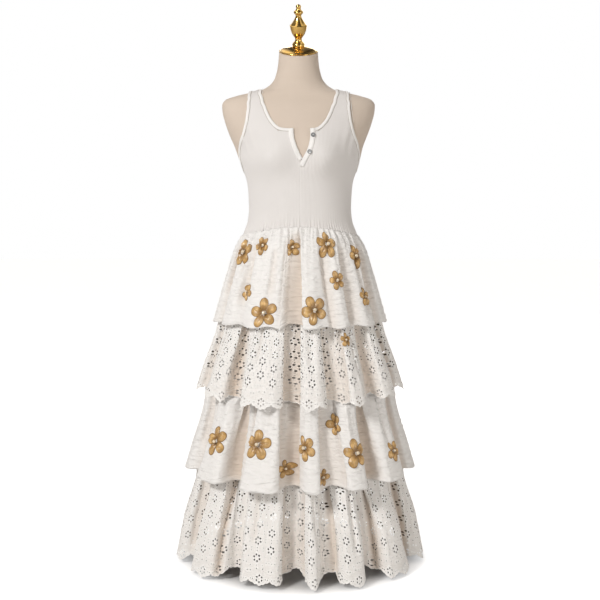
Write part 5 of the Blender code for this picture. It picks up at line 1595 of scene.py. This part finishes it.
def border_point(wide, high):
    """One point of the border; y runs down from the field's last row to the hem."""
    step = wide / (STEPS_A_REPEAT * 1.5)
    columns = round(wide / step)
    shares = np.linspace(0.0, 1.0, 43)
    hem = np.stack([shares * wide, high - hem_drop(shares)], -1)
    side_rows = round((high - hem_drop(0.0)) / step)
    side = np.linspace(0.0, high - hem_drop(0.0), side_rows + 1)
    outline = [(0.0, y) for y in side[:-1]] + hem.tolist() + [(wide, y) for y in side[-2:0:-1]]
    outline += [(x, 0.0) for x in np.linspace(wide, 0.0, columns + 1)[:-1]]
    outline = np.array(outline)
    holes = hole_ring((wide / 2, high - HEART_UP), BORDER_RING, HOLE_RADIUS * 0.92, 30)
    for share in (0.10, 0.20, 0.80, 0.90):
        holes.append((share * wide, high - hem_drop(share) - 0.0075, TINY_RADIUS, TINY_SIDES))
    for x in (0.0042, wide - 0.0042):
        holes.append((x, 0.0085, TINY_RADIUS * 1.25, TINY_SIDES))
    holes += [(wide * share, 0.0042, TINY_RADIUS * 1.25, TINY_SIDES) for share in (0.36, 0.64)]
    spots = np.array([(x * step, y * step) for x in range(1, columns)
                      for y in range(1, int(high / step) + 1)])
    spots = spots[spots[:, 1] < high - hem_drop(spots[:, 0] / wide) - 0.0022]
    inner = np.stack([shares[1:-1:2] * wide, high - hem_drop(shares[1:-1:2]) - 0.0016], -1)
    verts, faces, rise_at = with_lips(outline, holes, np.vstack([spots, inner]))
    to_hem = high - hem_drop(verts[:, 0] / wide) - verts[:, 1]
    edge = to_hem < 0.0018
    rise_at[edge] = np.maximum(rise_at[edge], LIP_RISE)
    return verts, faces, rise_at


# %% [markdown]
# The tiles are laid out by adding offsets to their points, shared edge points are merged, and the flat sheet
# is read through the cloth to get its place on the dress. A tier is two such pieces, front and back.

# %% The two eyelet tiers
Repeat = namedtuple("Repeat", "field points")
REPEATS = {"tier_2": Repeat(54, 36), "tier_4": Repeat(72, 48)}
SAME_PLACE = 0.00002


def tiled(verts, faces, rise_at, offsets):
    """Copies of one flat net at many offsets."""
    offsets = np.asarray(offsets, float)
    points = (verts[None] + offsets[:, None]).reshape(-1, 2)
    shift = np.arange(len(offsets)) * len(verts)
    return points, (faces[None] + shift[:, None, None]).reshape(-1, 3), np.tile(rise_at, len(offsets))


def eyelet_half(tier, half):
    """The front (0) or back (1) half of an eyelet tier."""
    cloth, repeat = cloths[tier.name], REPEATS[tier.name]
    wide, point_wide = cloth.width / repeat.field, cloth.width / repeat.points
    field_high = cloth.length - BORDER_HIGH
    rows = round(field_high / wide)
    tall = field_high / rows
    first, last = half * repeat.field // 2, (half + 1) * repeat.field // 2
    level = [(x * wide, y * tall) for x in range(first, last) for y in range(rows) if x % 2 == 0]
    dropped = [(x * wide, (y + 0.5) * tall) for x in range(first, last) for y in range(rows - 1) if x % 2]
    ends = [(x * wide, y) for x in range(first, last) for y in (0.0, (rows - 0.5) * tall) if x % 2]
    field = tiled(*field_repeat(wide, tall), level + dropped)
    halves = tiled(*half_repeat(wide, tall), ends)
    first, last = half * repeat.points // 2, (half + 1) * repeat.points // 2
    places = [(x * point_wide, field_high) for x in range(first, last)]
    border = tiled(*border_point(point_wide, BORDER_HIGH), places)
    nets = [field, halves, border]
    starts = np.cumsum([0] + [len(net[0]) for net in nets[:-1]])
    flat = np.vstack([net[0] for net in nets])
    faces = np.vstack([net[1] + start for net, start in zip(nets, starts)])[:, ::-1]
    rise_at = np.concatenate([net[2] for net in nets])
    cells = np.round(flat / SAME_PLACE).astype(int)
    _, kept, back = np.unique(cells, axis=0, return_index=True, return_inverse=True)
    flat, rise_at, faces = flat[kept], rise_at[kept], back.ravel()[faces]
    faces = faces[(faces[:, 0] != faces[:, 1]) & (faces[:, 1] != faces[:, 2]) & (faces[:, 0] != faces[:, 2])]
    points = cloth.at(flat[:, 0], flat[:, 1], rise_at)
    name = f"eyelet_{tier.name}_{('front', 'back')[half]}"
    # The net carries the mask of the painted fold shade.
    return make_piece(name, points, faces, EYELET_CLOTH, flat, satin=rise_at / LIP_RISE,
                      hollow=cloth.fold_shade_at(flat[:, 0], flat[:, 1]))


eyelet = {}
for tier in (TIERS[1], TIERS[3]):
    for half, word in enumerate(("front", "back")):
        node = f"{tier.name}_{word}"
        eyelet[node] = eyelet_half(tier, half)
        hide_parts(node)
print("eyelet triangles:", {name: len(piece.data.polygons) for name, piece in eyelet.items()})

# %% [markdown]
# ## Flowers
# Each flower has five puffed satin petals round a pearl. A petal is an egg-shaped net: domed, with a crease
# down its middle and a flat sewn rim. It is laid out flat round the flower's heart and then read through the
# cloth, so a flower on a fold goes round the fold.

# %% Where the flowers are
Flower = namedtuple("Flower", "tier angle z across turn")
FLOWERS = [Flower(*row) for row in (
    (0, -57.0, 0.836, 0.070, 10), (0, -34.0, 0.856, 0.046, 30), (0, -7.2, 0.852, 0.043, 5),
    (0, 23.0, 0.860, 0.066, 0), (0, 56.0, 0.826, 0.064, 20), (0, 29.0, 0.768, 0.046, 15),
    (0, 55.0, 0.720, 0.048, 0), (0, -43.0, 0.735, 0.042, 40), (0, -25.0, 0.686, 0.070, 8),
    (0, 9.6, 0.695, 0.068, 25), (0, 110.0, 0.780, 0.064, 12), (0, 147.0, 0.730, 0.068, 33),
    (0, 180.0, 0.810, 0.048, 20), (0, 213.0, 0.715, 0.068, 4), (0, 245.0, 0.770, 0.048, 44),
    (1, 31.0, 0.616, 0.034, 0), (2, -50.5, 0.350, 0.070, 16), (2, -22.6, 0.356, 0.074, 0),
    (2, -6.9, 0.292, 0.044, 10), (2, 2.5, 0.350, 0.064, 30), (2, 21.3, 0.400, 0.054, 20),
    (2, 30.0, 0.332, 0.070, 5), (2, 57.0, 0.320, 0.050, 36), (2, 13.9, 0.272, 0.040, 50),
    (2, 102.0, 0.350, 0.070, 22), (2, 137.0, 0.310, 0.050, 8), (2, 168.0, 0.360, 0.070, 30),
    (2, 211.0, 0.320, 0.072, 14), (2, 244.0, 0.350, 0.050, 41),
)]
PETALS = 5
PETAL_SIDES = 22
PETAL_RINGS = np.array([0.0, 0.22, 0.42, 0.60, 0.75, 0.86, 0.90, 0.97, 1.0])
PETAL_CENTRE, PETAL_LONG, PETAL_WIDE = 0.550, 0.452, 0.345
DOME, CREASE, PETAL_BASE = 0.0048, 0.0030, 0.0007
RIM_START, LAYER_RISE = 0.88, 0.00035
PETAL_STREAKS = 0.02
FLOWER_SCALE = 1.13
PEARL_BASE = 0.0026


# %% Petals of one flower
def petal_net(radius, turn, numbers, layer):
    """Flat places, heights and masks of one petal."""
    ring, side = np.meshgrid(PETAL_RINGS, np.arange(PETAL_SIDES) * 2 * math.pi / PETAL_SIDES, indexing="ij")
    length, width = PETAL_LONG * numbers.uniform(0.93, 1.04), PETAL_WIDE * numbers.uniform(0.90, 1.06)
    x = PETAL_CENTRE + length * ring * np.cos(side)
    y = width * ring * np.sin(side) * (1.0 + 0.16 * np.cos(side))
    dome = DOME * (1 - np.minimum(ring / 0.90, 1.0) ** 2.2) * numbers.uniform(0.75, 1.2)
    crease = CREASE * np.exp(-(y / 0.045) ** 2) * np.exp(-((x - 0.45) / 0.30) ** 2)
    tilt = numbers.uniform(-0.0009, 0.0009) * y / width * (ring < 0.89)
    rim_roll = 0.0006 * np.exp(-((ring - 0.94) / 0.035) ** 2)
    height = PETAL_BASE + LAYER_RISE * layer + dome - crease * (ring < RIM_START) + tilt + rim_roll
    height = np.where(ring > 0.99, 0.0001, height)
    c, s = math.cos(turn), math.sin(turn)
    flat = np.stack([(x * c - y * s) * radius, -(x * s + y * c) * radius], -1)
    return flat, height, np.hypot(x, y), (ring > RIM_START).astype(float)


def add_flower(name, flower, seed):
    """One flower, as one mesh of five petals. Returns its piece and the flat places of its rims."""
    cloth = cloths[TIERS[flower.tier].name]
    numbers = np.random.default_rng(seed)
    centre_u = cloth.across_at(flower.angle)
    centre_v = cloth.down_at(centre_u, flower.z)
    count = len(PETAL_RINGS) * PETAL_SIDES
    points, flats, reaches, rims, faces, edges = [], [], [], [], [], []
    for petal in range(PETALS):
        turn = math.radians(flower.turn + 90 + petal * 360 / PETALS) + numbers.uniform(-0.07, 0.07)
        flat, height, reach, rim = petal_net(flower.across / 2 * FLOWER_SCALE, turn, numbers, petal % 3)
        place = flat + (centre_u, centre_v)
        points.append(cloth.at(place[..., 0], place[..., 1], height).reshape(-1, 3))
        spin = np.arctan2(flat[..., 1], flat[..., 0]) * PETAL_STREAKS
        flats.append(np.stack([spin, np.hypot(flat[..., 0], flat[..., 1])], -1).reshape(-1, 2))
        reaches.append(reach.ravel())
        rims.append(rim.ravel())
        faces.append(net_faces(len(PETAL_RINGS), PETAL_SIDES, closed=True)[:, ::-1] + petal * count)
        edges.append(place[-3])
    piece = make_piece(name, np.vstack(points), np.vstack(faces), SATIN, np.vstack(flats),
                       reach=np.concatenate(reaches), rim=np.concatenate(rims))
    merge_points(piece, SAME_PLACE)
    return piece, edges, (centre_u, centre_v)


flower_pieces, flower_edges, pearl_spots = {}, {}, {}
flower_count = {}
for seed, flower in enumerate(FLOWERS):
    number = flower_count[flower.tier] = flower_count.get(flower.tier, 0) + 1
    node = f"flower_{TIERS[flower.tier].name[-1]}_{number:02d}"
    piece, edges, heart = add_flower(f"satin_{node}", flower, seed)
    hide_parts(node)
    flower_pieces.setdefault(flower.tier, []).append(piece)
    flower_edges.setdefault(flower.tier, []).extend(edges)
    pearl_spots.setdefault(flower.tier, []).append((*heart, flower.across))
print("flowers:", flower_count)

# %% [markdown]
# ## Sewing, by Geometry Nodes
# Stitches, corded edges and pearls all repeat, or follow a path, so three small trees make them. A path is a
# mesh of edges with an "up" direction at each point. The stitch tree walks the path at even steps and lays a
# small thread on each; the cord tree sweeps a round section along it; the pearl tree sets a ball on points.


# %% The three trees
GEOMETRY, FINISH, WHOLE = "NodeSocketGeometry", "NodeSocketMaterial", "NodeSocketInt"


def hand_out(tree, geometry, given, result):
    """The end of each tree: the geometry made real, smooth and finished."""
    real = tree.add("GeometryNodeRealizeInstances", {"Geometry": geometry})
    smooth = tree.add("GeometryNodeSetShadeSmooth", {"Geometry": real.outputs[0]})
    finished = tree.add("GeometryNodeSetMaterial", {"Geometry": smooth.outputs[0],
                                                    "Material": given.outputs["Finish"]})
    tree.feed(finished.outputs[0], result.inputs[0])
    return tree.tree


def stitch_tree():
    """A row of threads along a path."""
    tree, given, result = named_group("Row of stitches", "GeometryNodeTree", [
        ("Path", GEOMETRY, None), ("Spacing", FLOAT, 0.0032), ("Length", FLOAT, 0.0024),
        ("Thickness", FLOAT, 0.0006), ("Crosswise", "NodeSocketBool", False), ("Finish", FINISH, None)],
        [("Stitches", GEOMETRY)])
    curve = tree.add("GeometryNodeMeshToCurve", {"Mesh": given.outputs["Path"]})
    steps = tree.add("GeometryNodeCurveToPoints", {"Curve": curve.outputs[0],
                                                   "Length": given.outputs["Spacing"]}, mode="LENGTH")
    up = tree.add("GeometryNodeInputNamedAttribute", {"Name": "up"}, data_type="FLOAT_VECTOR").outputs[0]
    aside = tree.add("ShaderNodeVectorMath", {0: steps.outputs["Tangent"], 1: up}, operation="CROSS_PRODUCT")
    way = tree.add("GeometryNodeSwitch", {"Switch": given.outputs["Crosswise"],
                                          "False": steps.outputs["Tangent"], "True": aside.outputs[0]},
                   input_type="VECTOR")
    first = tree.add("FunctionNodeAlignRotationToVector", {"Vector": way.outputs[0]}, axis="X")
    second = tree.add("FunctionNodeAlignRotationToVector", {"Rotation": first.outputs[0], "Vector": up},
                      axis="Z", pivot_axis="X")
    ball = tree.add("GeometryNodeMeshUVSphere", {"Segments": 4, "Rings": 3, "Radius": 0.5})
    size = tree.add("ShaderNodeCombineXYZ", {0: given.outputs["Length"], 1: given.outputs["Thickness"],
                                             2: given.outputs["Thickness"]})
    row = tree.add("GeometryNodeInstanceOnPoints", {
        "Points": steps.outputs["Points"], "Instance": ball.outputs[0], "Rotation": second.outputs[0],
        "Scale": size.outputs[0]})
    return hand_out(tree, row.outputs[0], given, result)


def cord_tree():
    """A round cord along a path."""
    tree, given, result = named_group("Cord along a path", "GeometryNodeTree", [
        ("Path", GEOMETRY, None), ("Radius", FLOAT, 0.0007), ("Sides", WHOLE, 5), ("Finish", FINISH, None)],
        [("Cord", GEOMETRY)])
    curve = tree.add("GeometryNodeMeshToCurve", {"Mesh": given.outputs["Path"]})
    section = tree.add("GeometryNodeCurvePrimitiveCircle", {"Resolution": given.outputs["Sides"],
                                                            "Radius": given.outputs["Radius"]})
    swept = tree.add("GeometryNodeCurveToMesh", {"Curve": curve.outputs[0],
                                                 "Profile Curve": section.outputs[0], "Fill Caps": True})
    return hand_out(tree, swept.outputs[0], given, result)


def pearl_tree():
    """A pearl on each point, as large as the point's size."""
    tree, given, result = named_group("Pearls on points", "GeometryNodeTree", [
        ("Points", GEOMETRY, None), ("Roundness", WHOLE, 18), ("Finish", FINISH, None)],
        [("Pearls", GEOMETRY)])
    ball = tree.add("GeometryNodeMeshUVSphere", {"Segments": given.outputs["Roundness"], "Rings": 12,
                                                 "Radius": 0.5})
    size = tree.add("GeometryNodeInputNamedAttribute", {"Name": "size"}, data_type="FLOAT").outputs[0]
    scale = tree.add("ShaderNodeCombineXYZ", {0: size, 1: size, 2: size})
    row = tree.add("GeometryNodeInstanceOnPoints", {
        "Points": given.outputs["Points"], "Instance": ball.outputs[0], "Scale": scale.outputs[0]})
    return hand_out(tree, row.outputs[0], given, result)


STITCHES, CORD, PEARLS = stitch_tree(), cord_tree(), pearl_tree()
print("trees:", [tree.name for tree in (STITCHES, CORD, PEARLS)])


# %% Running a tree on paths
def run_tree(name, tree, paths, values, closed=False, size=None):
    """Makes a plain mesh from a tree. paths are (points, ups) pairs, or one pair of loose points."""
    points, ups, edges = [], [], []
    for line, up in paths:
        start = len(points)
        points.extend(np.asarray(line).tolist())
        ups.extend(np.broadcast_to(up, np.shape(line)).tolist())
        if size is None:
            edges += [(start + k, start + k + 1) for k in range(len(line) - 1)]
            if closed:
                edges.append((start + len(line) - 1, start))
    source_mesh = bpy.data.meshes.new(name + "_path")
    source_mesh.from_pydata(points, edges, [])
    source_mesh.attributes.new("up", "FLOAT_VECTOR", "POINT").data.foreach_set("vector", np.ravel(ups))
    if size is not None:
        source_mesh.attributes.new("size", "FLOAT", "POINT").data.foreach_set("value", size)
    source = bpy.data.objects.new(name + "_path", source_mesh)
    bpy.context.scene.collection.objects.link(source)
    modifier = source.modifiers.new("make", "NODES")
    modifier.node_group = tree
    for item in tree.interface.items_tree:
        if item.item_type == "SOCKET" and item.in_out == "INPUT" and item.name in values:
            modifier[item.identifier] = values[item.name]
    graph = bpy.context.evaluated_depsgraph_get()
    made = bpy.data.meshes.new_from_object(source.evaluated_get(graph), depsgraph=graph)
    made.name = name
    piece = bpy.data.objects.new(name, made)
    bpy.context.scene.collection.objects.link(piece)
    bpy.data.objects.remove(source, do_unlink=True)
    if not made.materials:
        made.materials.append(values["Finish"])
    return piece


# %% [markdown]
# The rows of stitches: one along the inner edge of each binding and both edges of each placket, one round
# each cotton hem, and short satin stitches across the rim of each petal. A thin grey cord beside the neck and
# armhole bindings is a painted shadow: it stands for the shade in the ditch where they meet the knit.

# %% Stitches on bindings and hems
def body_row(path, side, inward, height, closed=False):
    """A row of places on a band, and the way up there."""
    line = moved_in(path, side * inward, closed)
    return on_body(line[:, 0], line[:, 1], np.full(len(line), height)), body_normal(line[:, 0], line[:, 1])


SEAM_IN, SEAM_HIGH, SEAM_DITCH = 0.0064, 0.0041, 0.0086
SEAM_LOW = KNIT_OUT + 0.0006
BAND_STITCH = {"Spacing": 0.0029, "Length": 0.0023, "Thickness": 0.00055, "Finish": THREAD}
HEM_STITCH = {"Spacing": 0.0036, "Length": 0.0028, "Thickness": 0.0005, "Finish": THREAD}
# The seam cord is a painted shadow line in grey, along the ditch of each binding.
SEAM_SHADOW_CORD = {"Radius": 0.00055, "Sides": 5, "Finish": SEAM_SHADOW_FINISH}

placket_rows = [body_row(placket_paths[word], side, inward, height) for inward, height in
                ((0.0104, 0.0051), (0.0018, 0.0050)) for word, side in (("right", -1), ("left", 1))]
band_stitches = run_tree("binding_stitches", STITCHES,
                         [body_row(NECK, -1, SEAM_IN, SEAM_HIGH), *placket_rows], BAND_STITCH)
arm_rows = [body_row(ARMHOLES[side], side, SEAM_IN, SEAM_HIGH, True) for side in (-1, 1)]
arm_stitches = run_tree("armhole_stitches", STITCHES, arm_rows, BAND_STITCH, closed=True)
# Painted shadow: grey cords in the ditch beside the neck and armhole bindings.
neck_seam_shadow = run_tree("binding_seam", CORD, [body_row(NECK, -1, SEAM_DITCH, SEAM_LOW)], SEAM_SHADOW_CORD)
arm_rows = [body_row(ARMHOLES[side], side, SEAM_DITCH, SEAM_LOW, True) for side in (-1, 1)]
arm_seam_shadows = run_tree("armhole_seams", CORD, arm_rows, SEAM_SHADOW_CORD, closed=True)
button_thread = run_tree("button_thread", CORD, bar_spots, {"Radius": 0.00035, "Sides": 6, "Finish": THREAD})


def hem_row(tier_name, up_by):
    """A row round a cotton hem."""
    cloth = cloths[tier_name]
    u = np.arange(0.0, cloth.width, 0.004)
    v = np.full(len(u), cloth.length - up_by)
    return cloth.at(u, v, HEM_RISE * 0.6), cloth.up(u, v)


hem_stitches = {}
for name in ("tier_1", "tier_3"):
    hem_stitches[name] = run_tree(f"hem_stitches_{name}", STITCHES, [hem_row(name, HEM_WIDTH)], HEM_STITCH,
                                  closed=True)
print("stitch faces:", [len(p.data.polygons) for p in (band_stitches, arm_stitches, *hem_stitches.values())])

# %% Rims and pearls of the flowers
RIM_STITCH = {"Spacing": 0.0022, "Length": 0.0018, "Thickness": 0.0011, "Crosswise": True,
              "Finish": OCHRE_THREAD}
LARGE_FLOWER, LARGE_PEARL, SMALL_PEARL = 0.06, 0.0092, 0.0066

rim_pieces, pearl_pieces = {}, {}
for number, edges in flower_edges.items():
    name = TIERS[number].name
    cloth = cloths[name]
    rows = [(cloth.at(edge[:, 0], edge[:, 1], PETAL_BASE + 0.0006), cloth.up(edge[:, 0], edge[:, 1]))
            for edge in edges]
    rim_pieces[number] = run_tree(f"petal_rims_{name}", STITCHES, rows, RIM_STITCH, closed=True)
    u, v, across = np.array(pearl_spots[number]).T
    sizes = np.where(across > LARGE_FLOWER, LARGE_PEARL, SMALL_PEARL)
    spots = cloth.at(u, v, PEARL_BASE + sizes * 0.42)
    pearl_pieces[number] = run_tree(f"pearls_{name}", PEARLS, [(spots, cloth.up(u, v))],
                                    {"Roundness": 18, "Finish": PEARL}, size=sizes)
print("rims:", [len(p.data.polygons) for p in rim_pieces.values()])

# %% [markdown]
# The eyelet border has a corded edge that follows every scallop, and two zigzag lines of satin cord that
# cross into diamonds above it.


# %% Corded hem and embroidered diamonds
def border_lines(tier_name):
    """The hem line and the two zigzag lines of an eyelet tier, in flat places."""
    cloth, repeat = cloths[tier_name], REPEATS[tier_name]
    wide = cloth.width / repeat.points
    shares = np.linspace(0.0, 1.0, 29)[:-1]
    u = np.concatenate([(k + shares) * wide for k in range(repeat.points)])
    share = np.tile(shares, repeat.points)
    hem = cloth.length - hem_drop(share)
    zigzag = np.abs(2 * share - 1)
    low_line = cloth.length - POINT_DEPTH * zigzag - 0.0105 - 0.0165 * (1 - zigzag)
    high_line = cloth.length - BORDER_HIGH + 0.004 + 0.014 * zigzag
    return u, hem, low_line, high_line


HEM_CORD = {"Radius": 0.0008, "Sides": 5, "Finish": THREAD}
DIAMOND_CORD = {"Radius": 0.0005, "Sides": 5, "Finish": THREAD}
CORD_LIFT = 0.0002

cord_pieces = {}
for name in ("tier_2", "tier_4"):
    cloth = cloths[name]
    u, hem, *diamonds = border_lines(name)
    edge = [(cloth.at(u, hem, CORD_LIFT), cloth.up(u, hem))]
    lines = [(cloth.at(u[::2], line[::2], CORD_LIFT), cloth.up(u[::2], line[::2])) for line in diamonds]
    cord_pieces[name] = [run_tree(f"corded_hem_{name}", CORD, edge, HEM_CORD, closed=True),
                         run_tree(f"diamond_lines_{name}", CORD, lines, DIAMOND_CORD, closed=True)]
print("cords:", {name: [len(p.data.polygons) for p in pieces] for name, pieces in cord_pieces.items()})

# %% [markdown]
# ## What each piece is
# Every piece rides on the one body and is listed in a slot.

# %% Riding and slots
bands = [neck_band, *arm_bands.values(), *placket_pieces.values()]
band_sewing = [band_stitches, arm_stitches, neck_seam_shadow, arm_seam_shadows]
slots = {"linen": [torso], "polished_gold": [cap, finial], "painted_steel": [foot, pole], "rib_knit": [knit],
         "binding": [*bands, *band_sewing], "button": [*button_pieces, button_thread],
         "crinkled_cotton": [*cotton.values(), *hem_stitches.values()],
         "eyelet_cloth": [*eyelet.values(), *sum(cord_pieces.values(), [])],
         "gold_satin": [*sum(flower_pieces.values(), []), *rim_pieces.values(), *pearl_pieces.values()]}
for slot, pieces in slots.items():
    for piece in pieces:
        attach(piece, BODY_NAME)

for number, name in ((0, "tier_1"), (2, "tier_3")):
    cloth = cloths[name]
for name, flowers in (("tier_2", [*flower_pieces[1], rim_pieces[1], pearl_pieces[1]]), ("tier_4", [])):
    cloth = cloths[name]
print("slots:", {slot: len(pieces) for slot, pieces in slots.items()})

# %% Sizes, and the end
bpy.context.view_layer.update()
triangles = 0
for piece in sum(slots.values(), []):
    doubled = 2 if piece.modifiers else 1
    triangles += doubled * sum(len(face.vertices) - 2 for face in piece.data.polygons)
print("triangles in all:", triangles)
